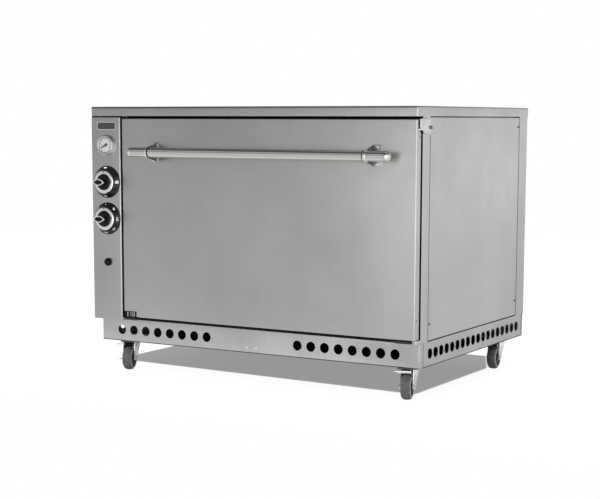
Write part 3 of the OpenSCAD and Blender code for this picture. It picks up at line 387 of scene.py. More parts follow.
def lathe(profile, place, steps=72):
    """Turns (radius, height) points round an axis; place takes x, y across it and height."""
    bm = bmesh.new()
    rings = []
    for radius, height in profile:
        if radius < 1e-6:
            rings.append([bm.verts.new(place(0, 0, height))])
            continue
        rings.append([bm.verts.new(place(*polar(radius, 360 * k / steps), height))
                      for k in range(steps)])
    for a, b in zip(rings, rings[1:]):
        for k in range(steps):
            n = (k + 1) % steps
            if len(a) == 1 and len(b) == 1:
                continue
            if len(a) == 1:
                bm.faces.new((a[0], b[k], b[n]))
            elif len(b) == 1:
                bm.faces.new((a[k], a[n], b[0]))
            else:
                bm.faces.new((a[k], a[n], b[n], b[k]))
    return bm


def softened(points, radius, closed=False, steps=3):
    """A polyline with its inner corners rounded."""
    result = []
    count = len(points)
    for k, point in enumerate(points):
        if not closed and k in (0, count - 1):
            result.append(tuple(point))
            continue
        before = Vector(points[k - 1])
        here = Vector(point)
        after = Vector(points[(k + 1) % count])
        reach = min(radius, (before - here).length * 0.45, (after - here).length * 0.45)
        start = here + (before - here).normalized() * reach
        end = here + (after - here).normalized() * reach
        for j in range(steps + 1):
            t = j / steps
            result.append(tuple(start * (1 - t) ** 2 + here * 2 * t * (1 - t) + end * t * t))
    return result


def plate(outline, place, low, high, bevel=0.4):
    """A flat outline made thick from low to high, with its edges eased."""
    bm = bmesh.new()
    bottom = [bm.verts.new(place(u, v, low)) for u, v in outline]
    top = [bm.verts.new(place(u, v, high)) for u, v in outline]
    bm.faces.new(bottom)
    bm.faces.new(list(reversed(top)))
    count = len(outline)
    for k in range(count):
        n = (k + 1) % count
        bm.faces.new((bottom[k], top[k], top[n], bottom[n]))
    if bevel:
        rims = [edge for edge in bm.edges if any(len(face.verts) > 4 or len(outline) <= 4
                                                 for face in edge.link_faces)]
        bmesh.ops.bevel(bm, geom=rims, offset=bevel * MM, segments=2, affect="EDGES", profile=0.5)
    return bm


def facing_front(cx, cz):
    """Place function for round things on the front: across, up, and depth along Y."""
    return lambda u, v, depth: at(cx + u, depth, cz + v)


def facing_right(cy, cz):
    return lambda u, v, x: at(x, cy + u, cz + v)


def upright(cx, cy):
    return lambda u, v, z: at(cx + u, cy + v, z)


def lettering(name, words, size, origin, across, up_way, material, body, thick=0.15,
              bold=0.0):
    """Raised figures on a face: centred at a point in metres, along two directions."""
    curve = bpy.data.curves.new(name, "FONT")
    curve.body = words
    curve.size = size * MM
    curve.extrude = thick * MM
    curve.offset = bold * MM
    curve.align_x = "CENTER"
    curve.align_y = "CENTER"
    curve.resolution_u = 3
    obj = bpy.data.objects.new(name, curve)
    across, up_way = Vector(across).normalized(), Vector(up_way).normalized()
    obj.matrix_world = Matrix.Translation(origin) @ Matrix(
        (across, up_way, across.cross(up_way))).transposed().to_4x4()
    bpy.context.scene.collection.objects.link(obj)
    bpy.context.view_layer.update()
    graph = bpy.context.evaluated_depsgraph_get()
    mesh = bpy.data.meshes.new_from_object(obj.evaluated_get(graph))
    mesh.transform(obj.matrix_world)
    bpy.data.objects.remove(obj)
    mesh.materials.clear()
    mesh.materials.append(material)
    done = bpy.data.objects.new(name, mesh)
    bpy.context.scene.collection.objects.link(done)
    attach(done, body)
    return done


# Studio: white floor and backdrop, a dimmer room in front, and soft lamps

def ray_mask(tree, *kinds):
    """1 for rays of the given kinds, 0 for others."""
    path = tree.nodes.new("ShaderNodeLightPath")
    value = path.outputs[kinds[0]]
    for kind in kinds[1:]:
        value = maths(tree, "MAXIMUM", value, path.outputs[kind])
    return value


def choose(tree, mask, otherwise, chosen):
    """One value where the mask is 0 and another where it is 1."""
    node = tree.nodes.new("ShaderNodeMapRange")
    feed(tree, node.inputs["To Min"], otherwise)
    feed(tree, node.inputs["To Max"], chosen)
    tree.links.new(mask, node.inputs["Value"])
    return node.outputs["Result"]


# The shadow under the cabinet is painted on the floor as a flat shape, with edges along X and
# across a slightly turned Y, and a slanting edge at its right back corner. Lengths are in metres.

SHADOW_X = (-0.690, 0.506)
SHADOW_Y = (-0.212, 0.570)
SHADOW_TURN = 0.056
SHADOW_BLUR = 0.012
CORNER_SLOPE = 2.25
CORNER_REACH = (1.46, 1.48)
SHADOW_LEVEL = 0.3
FLOOR_LEVEL = 0.95
MIRRORED_FLOOR_LEVEL = 0.62


def within(tree, value, low, high):
    """1 between two limits, with a soft edge outside each."""
    return times(tree, spread(tree, value, 0.0, 1.0, low - SHADOW_BLUR, low),
                 spread(tree, value, 1.0, 0.0, high, high + SHADOW_BLUR))


floor_mesh = bpy.data.meshes.new("floor")
FLOOR_X = (-5, 5)
FLOOR_Y = (-0.9, 6)
floor_mesh.from_pydata([(FLOOR_X[i], FLOOR_Y[j], 0) for i, j in ((0, 0), (1, 0), (1, 1), (0, 1))],
                       [], [(0, 1, 2, 3)])
floor = bpy.data.objects.new("floor", floor_mesh)
bpy.context.scene.collection.objects.link(floor)
floor_material, tree, shader = node_material("floor")
shader.inputs["Roughness"].default_value = 0.9
shader.inputs["Specular IOR Level"].default_value = 0.1
shader.inputs["Emission Color"].default_value = (1, 1, 1, 1)
x, y, _ = coordinates(tree, "Object")
turned_y = maths(tree, "MULTIPLY_ADD", x, SHADOW_TURN, y)
corner_cut = spread(tree, maths(tree, "MULTIPLY_ADD", x, CORNER_SLOPE, y), 1.0, 0.0, *CORNER_REACH)
umbra = times(tree, within(tree, x, *SHADOW_X), within(tree, turned_y, *SHADOW_Y))
umbra = times(tree, umbra, corner_cut)
seen = ray_mask(tree, "Is Camera Ray", "Is Glossy Ray", "Is Transmission Ray")
albedo = choose(tree, seen, 0.75, 0.12)
tree.links.new(shaded(tree, (1, 1, 1), albedo), shader.inputs["Base Color"])
open_glow = choose(tree, ray_mask(tree, "Is Glossy Ray"), FLOOR_LEVEL, MIRRORED_FLOOR_LEVEL)
glow = times(tree, choose(tree, umbra, open_glow, SHADOW_LEVEL), seen)
tree.links.new(glow, shader.inputs["Emission Strength"])
floor_mesh.materials.append(floor_material)

world = bpy.data.worlds.new("studio")
bpy.context.scene.world = world
world.use_nodes = True
tree = world.node_tree
background = tree.nodes["Background"]
background.inputs["Color"].default_value = (1, 1, 1, 1)
x, y, z = coordinates(tree, "Generated")
ramp = tree.nodes.new("ShaderNodeValToRGB")
ramp.color_ramp.elements[0].color = (1, 1, 1, 1)
ramp.color_ramp.elements[1].position = 0.7
ramp.color_ramp.elements[1].color = (0.13, 0.13, 0.13, 1)
for position, level in ((0.2, 0.74), (0.45, 0.4)):
    ramp.color_ramp.elements.new(position).color = (level, level, level, 1)
tree.links.new(z, ramp.inputs["Fac"])
behind = spread(tree, y, 0.6, 0.98, -0.5, 0.3)
front_right = spread(tree, maths(tree, "SUBTRACT", x, y), 0.0, 1.0, 0.65, 1.15)
mirrored = times(tree, ramp.outputs["Color"], maths(tree, "ADD", behind, front_right))
strength = choose(tree, ray_mask(tree, "Is Glossy Ray", "Is Transmission Ray"), 0.5, mirrored)
strength = choose(tree, ray_mask(tree, "Is Camera Ray"), strength, 1.0)
tree.links.new(strength, background.inputs["Strength"])


def softbox(name, place, target, width, height, level, diffuse=True, glossy=True):
    """A rectangular lamp that shows at the given level in a mirror."""
    data = bpy.data.lights.new(name, "AREA")
    data.shape = "RECTANGLE"
    data.size = width
    data.size_y = height
    data.energy = math.pi * width * height * level
    obj = bpy.data.objects.new(name, data)
    obj.location = place
    obj.rotation_euler = (Vector(target) - Vector(place)).to_track_quat("-Z", "Y").to_euler()
    obj.visible_camera = False
    obj.visible_diffuse = diffuse
    obj.visible_glossy = glossy
    bpy.context.scene.collection.objects.link(obj)


softbox("overhead", (0.3, 0.3, 3.6), (0, 0, 0.4), 3.2, 2.6, 0.3, diffuse=False)
softbox("front_fill", (-0.4, -5.0, 1.1), (0, 0, 0.5), 1.8, 1.8, 0.35, diffuse=False)
softbox("right_front", (4.6, -2.6, 1.3), (0.5, 0, 0.5), 1.4, 2.4, 0.6, diffuse=False)
softbox("high_left", (-2.2, -3.2, 3.4), (0, -0.4, 0.7), 2.8, 1.0, 0.35, diffuse=False)
softbox("front_key", (0.8, -4.6, 3.2), (0, 0, 0.5), 2.4, 1.6, 7.0, glossy=False)

SUN_TILT = (11.3, 6.3, 0)
top = bpy.data.lights.new("top", "SUN")
top.energy = 1.6
top.angle = math.radians(3)
top_lamp = bpy.data.objects.new("top", top)
top_lamp.visible_glossy = False
top_lamp.rotation_euler = [math.radians(degrees) for degrees in SUN_TILT]
bpy.context.scene.collection.objects.link(top_lamp)


# Folded sheets of the cabinet

for name, node, bend, thick, open_side, finish in (
        ("lid", "worktop", 5.5, 1.5, (2, -1), "brushed_steel"),
        ("panel_sheet", "control_panel", 4, 1.5, (1, 1), "brushed_steel"),
        ("side_sheet_right", "side_panel_right", 1.5, 1.4, (0, -1), "satin_steel"),
        ("side_sheet_left", "side_panel_left", 1.5, 1.4, (0, 1), "satin_steel")):
    piece(name, folded_pan(*box_mm(node), bend, thick, open_side), materials[finish], node=node)
piece("door_sheet", folded_pan(*box_mm("door_skin"), 3.5, 1.4, (1, 1)), door_steel,
      body="door", node="door_skin")
low, high = box_mm("worktop")
cabinet_w = high.x
# A dark strip along the lid's top front bend: a painted dark reflection
bend = rounded_box((low.x + 3, low.y - 0.3, high.z - 6), (high.x - 4, low.y + 1.4, high.z - 0.8),
                   0.6, 2)
piece("lid_bend_painted_reflection", bend, screw_dark_and_painted_shade)
# The sill's front in black: painted shade of the gap under the door
low, high = box_mm("sill")
piece("sill_painted_shade", folded_pan((low.x, low.y, low.z + 0.2), high, 1, 0.9, (1, 1)), painted_shade_black,
      node="sill")


# Perforated base with its lips, dark edge lines and pan; the lips are painted highlights, the lines and
# the black pan painted shade

VENT_Z = 145.5
VENT_R = 16
BURR_R = VENT_R + 3.4
CORNER_Y = (42.5, 62)
HEM_H = 2.6
front_vents = [86.7 + 48.9 * k for k in range(8)]
front_vents += [cabinet_w - x for x in reversed(front_vents)]
side_vents = [111 + 40.4 * k for k in range(18)]


def bored(place, depth):
    ends = (depth - 6, depth + 6)
    return lathe([(0, ends[0]), (VENT_R, ends[0]), (VENT_R, ends[1]), (0, ends[1])], place, 40)


def burr(place, depth, out):
    """Lip that the punch leaves round a hole, coloured light as a painted highlight."""
    ring = [(VENT_R + 0.05, 0.9), (VENT_R + 0.05, -0.25), (VENT_R + 0.6, -0.5),
            (BURR_R - 0.5, -0.3), (BURR_R, 0.05)]
    return lathe([(r, depth - out * h) for r, h in ring], place, 40)


low, high = box_mm("base_front")
base_y0 = low.y
trims = joined([rounded_box((x, low.y + 10, low.z - 5), (x + 10, high.y + 5, high.z + 5), 0.1, 1)
                for x in (low.x - 5, high.x - 5)])
sheet = folded_pan(low, high, 2.5, 1.5, (1, 1))
cutters = joined([trims] + [bored(facing_front(x, VENT_Z), low.y) for x in front_vents])
piece("base_sheet_front", punched(sheet, cutters), base_front_steel, node="base_front")
# Lips of the front holes in light paint: painted highlight
piece("vent_lips_front", joined([burr(facing_front(x, VENT_Z), low.y, 1) for x in front_vents]),
      lip_painted_highlight)
# Dark lines along the base's bottom edges and beside its corner strips: painted shade
hems = [rounded_box((low.x + 1, low.y - 0.5, low.z), (high.x - 1, low.y + 1, low.z + HEM_H), 0.4, 2)]
lips = []
low, high = box_mm("base_sides")
for name, x0, x1, face, way in (("left", low.x, low.x + 30, low.x, 1),
                                ("right", high.x - 30, high.x, high.x, -1)):
    sheet = folded_pan((x0, low.y, low.z), (x1, high.y, high.z), 2, 1.5, (0, way))
    cutters = joined([bored(facing_right(y, VENT_Z), face) for y in side_vents])
    piece("base_sheet_" + name, punched(sheet, cutters), materials["base_steel"],
          node="base_sides")
    lips += [burr(facing_right(y, VENT_Z), face, way) for y in side_vents]
    for y0, y1, z0, z1 in ((low.y + 1, high.y - 1, low.z, low.z + HEM_H),
                           (CORNER_Y[1] + 0.4, CORNER_Y[1] + 3, low.z + 1, high.z - 1)):
        hems.append(rounded_box((face - 0.5, y0, z0), (face + 0.5, y1, z1), 0.4, 2))
# Side lips in bright steel: painted highlight
piece("vent_lips_side", joined(lips), lip_bright)
piece("base_edge_painted_shade", joined(hems), edge_painted_shade)
strips = [rounded_box((face - 0.8, CORNER_Y[0], low.z + 1), (face + 0.8, CORNER_Y[1], high.z - 0.5),
                      0.7, 3) for face in (low.x, high.x)]
piece("base_corner_strips", joined(strips), materials["brushed_steel"])

# A black pan inside the base: painted shade that keeps the vent holes dark
PAN_X0, PAN_X1 = 38, 1162
PAN_Y0, PAN_Y1 = 73, 825
NOTCH_X, NOTCH_Y = 75, 93
FRONT_RIGHT_NOTCH_X = NOTCH_X + 10
pan_outline = [(PAN_X0 + NOTCH_X, PAN_Y0), (PAN_X1 - FRONT_RIGHT_NOTCH_X, PAN_Y0),
               (PAN_X1 - FRONT_RIGHT_NOTCH_X, PAN_Y0 + NOTCH_Y), (PAN_X1, PAN_Y0 + NOTCH_Y),
               (PAN_X1, PAN_Y1 - NOTCH_Y), (PAN_X1 - NOTCH_X, PAN_Y1 - NOTCH_Y),
               (PAN_X1 - NOTCH_X, PAN_Y1), (PAN_X0 + NOTCH_X, PAN_Y1),
               (PAN_X0 + NOTCH_X, PAN_Y1 - NOTCH_Y), (PAN_X0, PAN_Y1 - NOTCH_Y),
               (PAN_X0, PAN_Y0 + NOTCH_Y), (PAN_X0 + NOTCH_X, PAN_Y0 + NOTCH_Y)]
piece("base_pan_painted_shade", plate(softened(pan_outline, 8, closed=True), lambda u, v, h: at(u, v, h),
                        108.6, 110, 0.3), painted_shade_black)


def frame_strips(x0, z0, x1, z1, left, bottom, right, top, y0, y1):
    """Four flat strips round a mouth, each as wide as given."""
    spans = (((x0 - left, z0 - bottom), (x0, z1 + top)), ((x1, z0 - bottom), (x1 + right, z1 + top)),
             ((x0, z0 - bottom), (x1, z0)), ((x0, z1), (x1, z1 + top)))
    return [rounded_box((a[0], y0, a[1]), (b[0], y1, b[1]), 0.1, 1) for a, b in spans]


# Dark trims, painted shade in the gaps: round the chamber's mouth, in the gap over the control panel
# and beside its end, and along the top and bottom of the side sheets

MOUTH = (156, 213, 1164, 831)
TRIM_WIDTHS = (36, 28.8, 33.6, 26.6)
TRIM_Y = (38.2, 38.9)
SHEET_Y = (41, 856)
left_face = box_mm("side_panel_left")[0].x
low, high = box_mm("side_panel_right")
right_face = high.x
trim = frame_strips(*MOUTH, *TRIM_WIDTHS, *TRIM_Y)
trim.append(rounded_box((22.6, 39.2, 846), (98, 41, 886), 0.3))
trim.append(rounded_box((1.6, 3, 850), (3, 39.5, 862), 0.3))
for x in (left_face + 0.6, right_face - 0.6):
    for z0, z1 in ((high.z + 0.2, high.z + 2.9), (low.z - 2.9, low.z - 0.2)):
        trim.append(rounded_box((x - 0.5, SHEET_Y[0], z0), (x + 0.5, SHEET_Y[1], z1), 0.2, 1))
piece("mouth_trim_painted_shade", joined(trim), painted_shade_black)


def upright_seams(low, high, faces, half, inset):
    """Thin dark lines at the front and back edge of side sheets: painted shade in the joints."""
    return [rounded_box((x - 0.35, y - half, low.z + inset), (x + 0.35, y + half, high.z - inset), 0.3, 2)
            for x in faces for y in (low.y - 0.3, high.y + 0.3)]


seams = upright_seams(low, high, (left_face, right_face), 1.1, 0)
low, high = box_mm("base_sides")
seams += upright_seams(low, high, (low.x, high.x), 0.9, 1)
piece("seam_lines_painted_shade", joined(seams), painted_shade_black)

RIVET_XS = (582.7, 616.7)
RIVET_Z = 124.6
rivet = [(r, base_y0 - h) for r, h in ((4.5, 0), (4.5, 0.7), (3.4, 1.3), (0, 1.5))]
rivets = [lathe(rivet, facing_front(x, RIVET_Z), 24) for x in RIVET_XS]
piece("base_rivets", joined(rivets), lip_bright)


# Control panel: bezels, knobs, thermometer and igniter

PANEL_X = 64
TAP_Z = 642
THERMOSTAT_Z = 521
GAUGE_Z = 763
BUTTON_Z = 376
BEZEL_R = 53
BEZEL_LIP = 2
RING_R = 38
CAP_R = 26.5
BEZEL_Y = -17
CONE_TOP_R = RING_R + 2
slope = Vector((BEZEL_R - CONE_TOP_R, 0, -BEZEL_LIP - BEZEL_Y)).normalized()


def on_cone(cz, degrees):
    """Place function on a bezel's cone: along the rim, down the slope, and off its surface."""
    turn = math.radians(degrees)
    out = Vector((math.sin(turn), 0, math.cos(turn)))
    along = Vector((math.cos(turn), 0, -math.sin(turn)))
    down = out * slope.x + Vector((0, 1, 0)) * slope.z
    off = out * slope.z - Vector((0, 1, 0)) * slope.x
    middle = Vector((PANEL_X, (BEZEL_Y - BEZEL_LIP) / 2, cz)) + out * (BEZEL_R + CONE_TOP_R) / 2

    def place(u, v, h):
        return at(*(middle + along * u + down * v + off * h))
    return place, along, down, middle + off * 0.12


def rounded_outline(half_w, half_h, radius):
    corners = [(-half_w, -half_h), (half_w, -half_h), (half_w, half_h), (-half_w, half_h)]
    return softened(corners, radius, closed=True)


cones = []
for cz in (TAP_Z, THERMOSTAT_Z):
    profile = softened([(10, 0), (BEZEL_R, 0), (BEZEL_R, -BEZEL_LIP), (CONE_TOP_R, BEZEL_Y),
                        (10, BEZEL_Y)], 1.2, steps=4)
    cones.append(lathe(profile, facing_front(PANEL_X, cz), 96))
piece("bezel_cones", joined(cones), materials["black_enamel"], node="knob_bezels")

marks = []
for degrees, half_w, half_h in ((0, 6, 3), (90, 4.5, 6), (180, 6, 2.6)):
    place, *_ = on_cone(TAP_Z, degrees)
    marks.append(plate(rounded_outline(half_w, half_h, 1.5), place, 0.02, 0.25, 0))
place, *_ = on_cone(THERMOSTAT_Z, 0)
marks.append(plate(arc(0, 0, 2.2, range(0, 360, 18)), place, 0.02, 0.25, 0))
piece("bezel_marks", joined(marks), mark_white)
for k, number in enumerate(("60", "100", "140", "180", "220", "260", "300")):
    degrees = 45 * (k + 1)
    place, along, down, middle = on_cone(THERMOSTAT_Z, degrees)
    lettering("bezel_number_" + number, number, 9, at(*middle), along, -down, mark_white,
              "cabinet", bold=0.35)

GRIP_HALF = 22.5
GRIP_HIGH = 10.5
GRIP_Y = -50


def lens(half_length, half_height, steps=14):
    """Outline of two arcs that meet in points at its ends."""
    radius = (half_length ** 2 + half_height ** 2) / (2 * half_height)
    arc = math.asin(half_length / radius)
    upper = [(radius * math.sin(arc * (2 * k / steps - 1)),
              radius * math.cos(arc * (2 * k / steps - 1)) - radius + half_height)
             for k in range(steps + 1)]
    return upper + [(u, -v) for u, v in reversed(upper[1:-1])]


def frame_of(outer, inner, place, low, high):
    """A rim between two outlines with as many points."""
    bm = bmesh.new()
    loops = [[bm.verts.new(place(u, v, h)) for u, v in outline]
             for outline, h in ((outer, low), (outer, high), (inner, high), (inner, low))]
    count = len(outer)
    for a, b in zip(loops, loops[1:] + loops[:1]):
        for k in range(count):
            n = (k + 1) % count
            bm.faces.new((a[k], a[n], b[n], b[k]))
    return bm


for name, cz, node in (("tap", TAP_Z, "tap_knob"), ("thermostat", THERMOSTAT_Z, "thermostat_knob")):
    body = "tap" if name == "tap" else "thermostat_dial"
    front = facing_front(PANEL_X, cz)
    ring = softened([(20, -17.6), (RING_R, -17.6), (RING_R, -19), (36, -20.8), (28.5, -21.6),
                     (26, -21), (20, -20)], 0.8)
    piece(name + "_ring", lathe(ring, front, 96), materials["chrome"], body, node)
    dome = softened([(26, -20), (CAP_R, -22), (CAP_R - 1.5, -26), (16, -27.6), (0, -28)], 1.5)
    stem = lathe([(4, -17), (4, 28), (0, 29)], front, 24)
    bar = plate(lens(GRIP_HALF, GRIP_HIGH), front, GRIP_Y + 1.4, -26, 0.5)
    piece(name + "_cap", joined([lathe(dome, front, 72), stem, bar]), materials["black_plastic"],
          body, node)
    outline = frame_of(lens(GRIP_HALF + 0.4, GRIP_HIGH + 0.4), lens(GRIP_HALF - 4.5, GRIP_HIGH - 2.6),
                       front, GRIP_Y, GRIP_Y + 2)
    piece(name + "_grip_rim", outline, materials["chrome"], body, node)
    index = plate(rounded_outline(1.3, 3, 0.6), facing_front(PANEL_X, cz + 33), -21.6, -20.6, 0)
    piece(name + "_index", index, materials["black_plastic"], body, node)

NEEDLE_REST = 210
NUMBER_R = 14.6
DIAL_Y = -6.05
front = facing_front(PANEL_X, GAUGE_Z)
bezel = softened([(33, 0), (33, -10.5), (32, -13), (30, -14), (27, -13.8), (24, -12.8), (23.6, -12.3),
                  (24, -12.1), (28.1, -12.1), (28.1, 22), (29, 24), (0, 24)], 0.7)
piece("gauge_ring", lathe(bezel, front, 96), gauge_steel, node="gauge_case")
ticks = []
for k in range(25):
    inner, half = (18.6, 0.45) if k % 4 == 0 else (20.2, 0.22)
    radial = Vector(polar(1, NEEDLE_REST - 10 * k))
    side = Vector((-radial.y, radial.x))
    outline = [tuple(radial * r + side * s) for r, s in
               ((inner, -half), (22, -half), (22, half), (inner, half))]
    ticks.append(plate(outline, front, -6.2, -5.9, 0))
piece("gauge_ticks", joined(ticks), mark_grey)
for k, number in enumerate(("50", "100", "150", "200", "250", "300", "350")):
    u, v = polar(NUMBER_R, NEEDLE_REST - 40 * k)
    lettering("gauge_number_" + number, number, 3.9, at(PANEL_X + u, DIAL_Y, GAUGE_Z + v),
              (1, 0, 0), (0, 0, 1), mark_grey, "cabinet", bold=0.1)
lettering("gauge_unit", "°C", 3.8, at(PANEL_X, DIAL_Y, GAUGE_Z - 12), (1, 0, 0), (0, 0, 1),
          mark_grey, "cabinet")

boss = softened([(0, -9.8), (4.8, -9.8), (5.2, -8.6), (5.2, -7.2)], 0.5)
blades = []
for degrees, outline in ((NEEDLE_REST, ((0, -2.8), (18.2, -1.7), (19.6, 0), (18.2, 1.7), (0, 2.8))),
                         (NEEDLE_REST - 180, ((0, -2.4), (8.4, -3.4), (8.4, 3.4), (0, 2.4)))):
    c, n = polar(1, degrees)
    blades.append(plate([(u * c - v * n, u * n + v * c) for u, v in outline], front, -8.8, -8, 0.15))
piece("needle_blade", joined(blades), materials["needle_black"], "needle", "gauge_needle")
piece("needle_boss", lathe(boss, front, 32), materials["needle_black"], "needle")

front = facing_front(PANEL_X, BUTTON_Z)
collar = softened([(9, 0), (13, 0), (13, -4.8), (12, -7), (10.7, -7), (10.7, -0.7), (3.6, -0.5)], 0.5)
piece("igniter_collar", lathe(collar, front, 48), materials["black_plastic"], node="igniter_body")
button = softened([(3, 24), (3, -6.8), (9.6, -7), (10, -7.6), (9.8, -10.8), (8.4, -12.7), (4, -13),
                   (0, -12.9)], 0.7)
piece("igniter_cap", lathe(button, front, 48), materials["black_plastic"], "igniter",
      "igniter_button")

low, high = box_mm("blank_plate")
middle = (low + high) / 2
half = (high - low) / 2
piece("plain_plate", plate(rounded_outline(half.x, half.z, 5), facing_front(middle.x, middle.z),
                           low.y, 0, 0.4), materials["plate_dark"], node="blank_plate")
rim = frame_of(rounded_outline(half.x, half.z, 5), rounded_outline(half.x - 2, half.z - 2, 4),
               facing_front(middle.x, middle.z), low.y - 0.5, low.y + 0.1)
piece("plain_plate_rim", rim, materials["chrome"])


# Handle: tube, domed ends, brackets and their screws

HANDLE_Y = -50
HANDLE_Z = 742
HANDLE_R = 15.5
low, high = box_mm("handle_tube")
mid_x = (low.x + high.x) / 2
BRACKET_REACH = 394
brackets = [(mid_x + way * BRACKET_REACH, way) for way in (-1, 1)]
across = facing_right(HANDLE_Y, HANDLE_Z)
piece("handle_bar", lathe([(HANDLE_R - 2, low.x), (HANDLE_R, low.x), (HANDLE_R, high.x),
                           (HANDLE_R - 2, high.x)], across, 64),
      materials["polished_steel"], "door", "handle_tube")
ends = []
for x, way in ((low.x, -1), (high.x, 1)):
    profile = [(HANDLE_R - 2, -8), (HANDLE_R - 2, 0.2), (HANDLE_R - 0.8, 0.3), (HANDLE_R - 0.6, 0.9),
               (HANDLE_R, 1.4), (HANDLE_R, 4)]
    profile += [(polar(HANDLE_R, a)[0], 4 + polar(12, a)[1]) for a in range(10, 90, 10)]
    profile.append((0, 16))
    ends.append(lathe([(r, x + way * h) for r, h in profile], across, 64))
piece("handle_ends", joined(ends), materials["polished_steel"], "door", "handle_caps")

feet, webs, collars = [], [], []
for cx, way in brackets:
    foot = plate(softened([(-4, -33), (30, -33), (30, 33), (-4, 33)], 5, closed=True),
                 lambda u, v, h: at(cx + way * u, h, HANDLE_Z + v), -3, 0, 0.7)
    web = plate(softened([(-1, 32), (-4.5, 29.5), (-44, 18.8), (HANDLE_Y, 17.5), (HANDLE_Y, -17.5),
                          (-44, -18.8), (-4.5, -29.5), (-1, -32)], 3),
                lambda u, v, h: at(cx + h, u, HANDLE_Z + v), -2, 2, 0.5)
    sleeve = softened([(HANDLE_R + 0.05, -4), (17.5, -4), (17.5, 4), (HANDLE_R + 0.05, 4)], 1.1)
    feet.append(foot)
    webs.append(web)
    collars.append(lathe([(r, cx + h) for r, h in sleeve], across, 64))
piece("handle_feet", joined(feet), bracket_steel, "door", "handle_brackets")
# The webs in dark steel are painted shade
piece("handle_webs_painted_shade", joined(webs), screw_dark_and_painted_shade, "door", "handle_brackets")
piece("handle_collars", joined(collars), materials["chrome"], "door", "handle_brackets")
# Dark rings beside the collars: painted shade
grooves = [lathe([(r, x - way * h) for r, h in ((HANDLE_R + 0.02, 4.2), (17.2, 4.2), (17.2, 6.8),
                                                (HANDLE_R + 0.02, 6.8))], across, 64)
           for x, way in brackets]
piece("handle_grooves_painted_shade", joined(grooves), painted_shade_black, "door")


def screw_head(place, radius, height, base=0.0):
    """Round head turned as a dome, with a small dip at its middle."""
    dome = [(radius, base), (radius, base + height * 0.35), (radius * 0.86, base + height * 0.72),
            (radius * 0.55, base + height * 0.95), (radius * 0.18, base + height * 0.98),
            (radius * 0.12, base + height * 0.55), (0, base + height * 0.5)]
    return lathe(dome, place, 28)


heads = []
for cx, out in brackets:
    for way in (-1, 1):
        place = facing_front(cx + out * 13, HANDLE_Z + way * 25)
        heads.append(screw_head(lambda u, v, h, p=place: p(u, v, -3 - h), 4.6, 2.2))
piece("handle_screws", joined(heads), materials["zinc"], "door", "door_fasteners")
heads = []
low, high = box_mm("door_skin")
for y, z in ((10, low.z + 59), (20, high.z - 52)):
    place = facing_right(y, z)
    heads.append(screw_head(lambda u, v, h, p=place: p(u, v, high.x + h), 3, 0.8))
piece("door_screws", joined(heads), screw_dark_and_painted_shade, "door", "door_fasteners")


# Hinge bars at the door's lower left corner

# The dark strap is painted shade of a recess behind the hinge bars
strap = [rounded_box((low.x + 1, -1.2, low.z + 0.5), (low.x + 50, 0, low.z + 19), 0.5)]
bars = [rounded_box((low.x + x, -2.4, low.z + 2), (low.x + x + w, -0.8, low.z + 17.5), 0.7)
        for x, w in ((15, 3), (28, 2), (36, 2.5), (43, 2))]
piece("hinge_strap_painted_shade", joined(strap), painted_shade_black, "door")
piece("hinge_bars", joined(bars), materials["bright_steel"], "door")


# Latch plate on the right side

low, high = box_mm("door_latch")
LATCH_X = low.x
LATCH_T = 3
PIN_Y, PIN_Z = 16, 821
PIVOT_Y, PIVOT_Z = 80, 825.5
NOTCH_R = 4.6
top = PIVOT_Z + 27
bottom = PIVOT_Z - 17
outline = [(PIN_Y - 4, top - 2), (PIN_Y - 4, PIN_Z + NOTCH_R - 1.2)]
outline += arc(PIN_Y, PIN_Z, NOTCH_R, range(120, -10, -12))
outline += [(PIN_Y + 18, bottom), (PIVOT_Y + 2, bottom - 3), (PIVOT_Y + 7, bottom + 4),
            (PIVOT_Y + 7, top - 6), (PIVOT_Y + 2, top)]
latch = plate(outline, lambda u, v, x: at(x, u, v), LATCH_X, LATCH_X + LATCH_T, 0.5)
tab = rounded_box((LATCH_X, PIVOT_Y - 34, top - 3), (high.x, PIVOT_Y, top), 0.8)
dimple = screw_head(lambda u, v, h: at(LATCH_X + LATCH_T + h, 31 + u, 834 + v), 2.2, 0.4)
piece("latch_plate", joined([latch, tab]), materials["bright_steel"], "latch", "door_latch")
piece("latch_dimple", dimple, screw_dark_and_painted_shade, "latch")
pin_profile = softened([(4, 1197), (4, 1203.5), (3.2, 1205.4), (0, 1205.4)], 0.8)
piece("latch_stud", lathe(pin_profile, facing_right(PIN_Y, PIN_Z), 32), materials["zinc"], "door",
      "latch_pin")

heads = []
low, high = box_mm("side_panel_right")
for y in (low.y + 9, high.y - 9):
    for z in (low.z + 50, high.z - 31):
        heads.append(screw_head(lambda u, v, h, y=y, z=z: at(right_face + h, y + u, z + v), 4, 2))
        heads.append(screw_head(lambda u, v, h, y=y, z=z: at(left_face - h, y + u, z + v), 4, 2))
washer = softened([(0, right_face), (7, right_face), (7, LATCH_X - 0.2), (3, LATCH_X - 0.2),
                   (3, LATCH_X + 3.4)], 0.3)
heads.append(lathe(washer, facing_right(PIVOT_Y, PIVOT_Z), 32))
heads.append(screw_head(lambda u, v, h: at(LATCH_X + 3.4 + h, PIVOT_Y + u, PIVOT_Z + v), 5.5, 2.6))
piece("cabinet_screws", joined(heads), screw_dark_and_painted_shade, node="cabinet_fasteners")


# Back: louvre hoods, screws, the flue's bead and the inlet's thread

def facing_back(cx, cz, y):
    return lambda u, v, h: at(cx - u, y + h, cz + v)


BACK_Y = box_mm("back_panel")[1].y
LOUVRE_XS = (178, 510)
LOUVRE_W = 180
LOUVRE_Z = 244
LOUVRE_PITCH = 20
FLUE_X, FLUE_Z = 980, 750


def edge_places(xs, edge_zs, side_zs):
    """Places along the top and bottom edges, and between them at the two ends."""
    return [(x, z) for x in xs for z in edge_zs] + [(x, z) for x in (xs[0], xs[-1]) for z in side_zs]


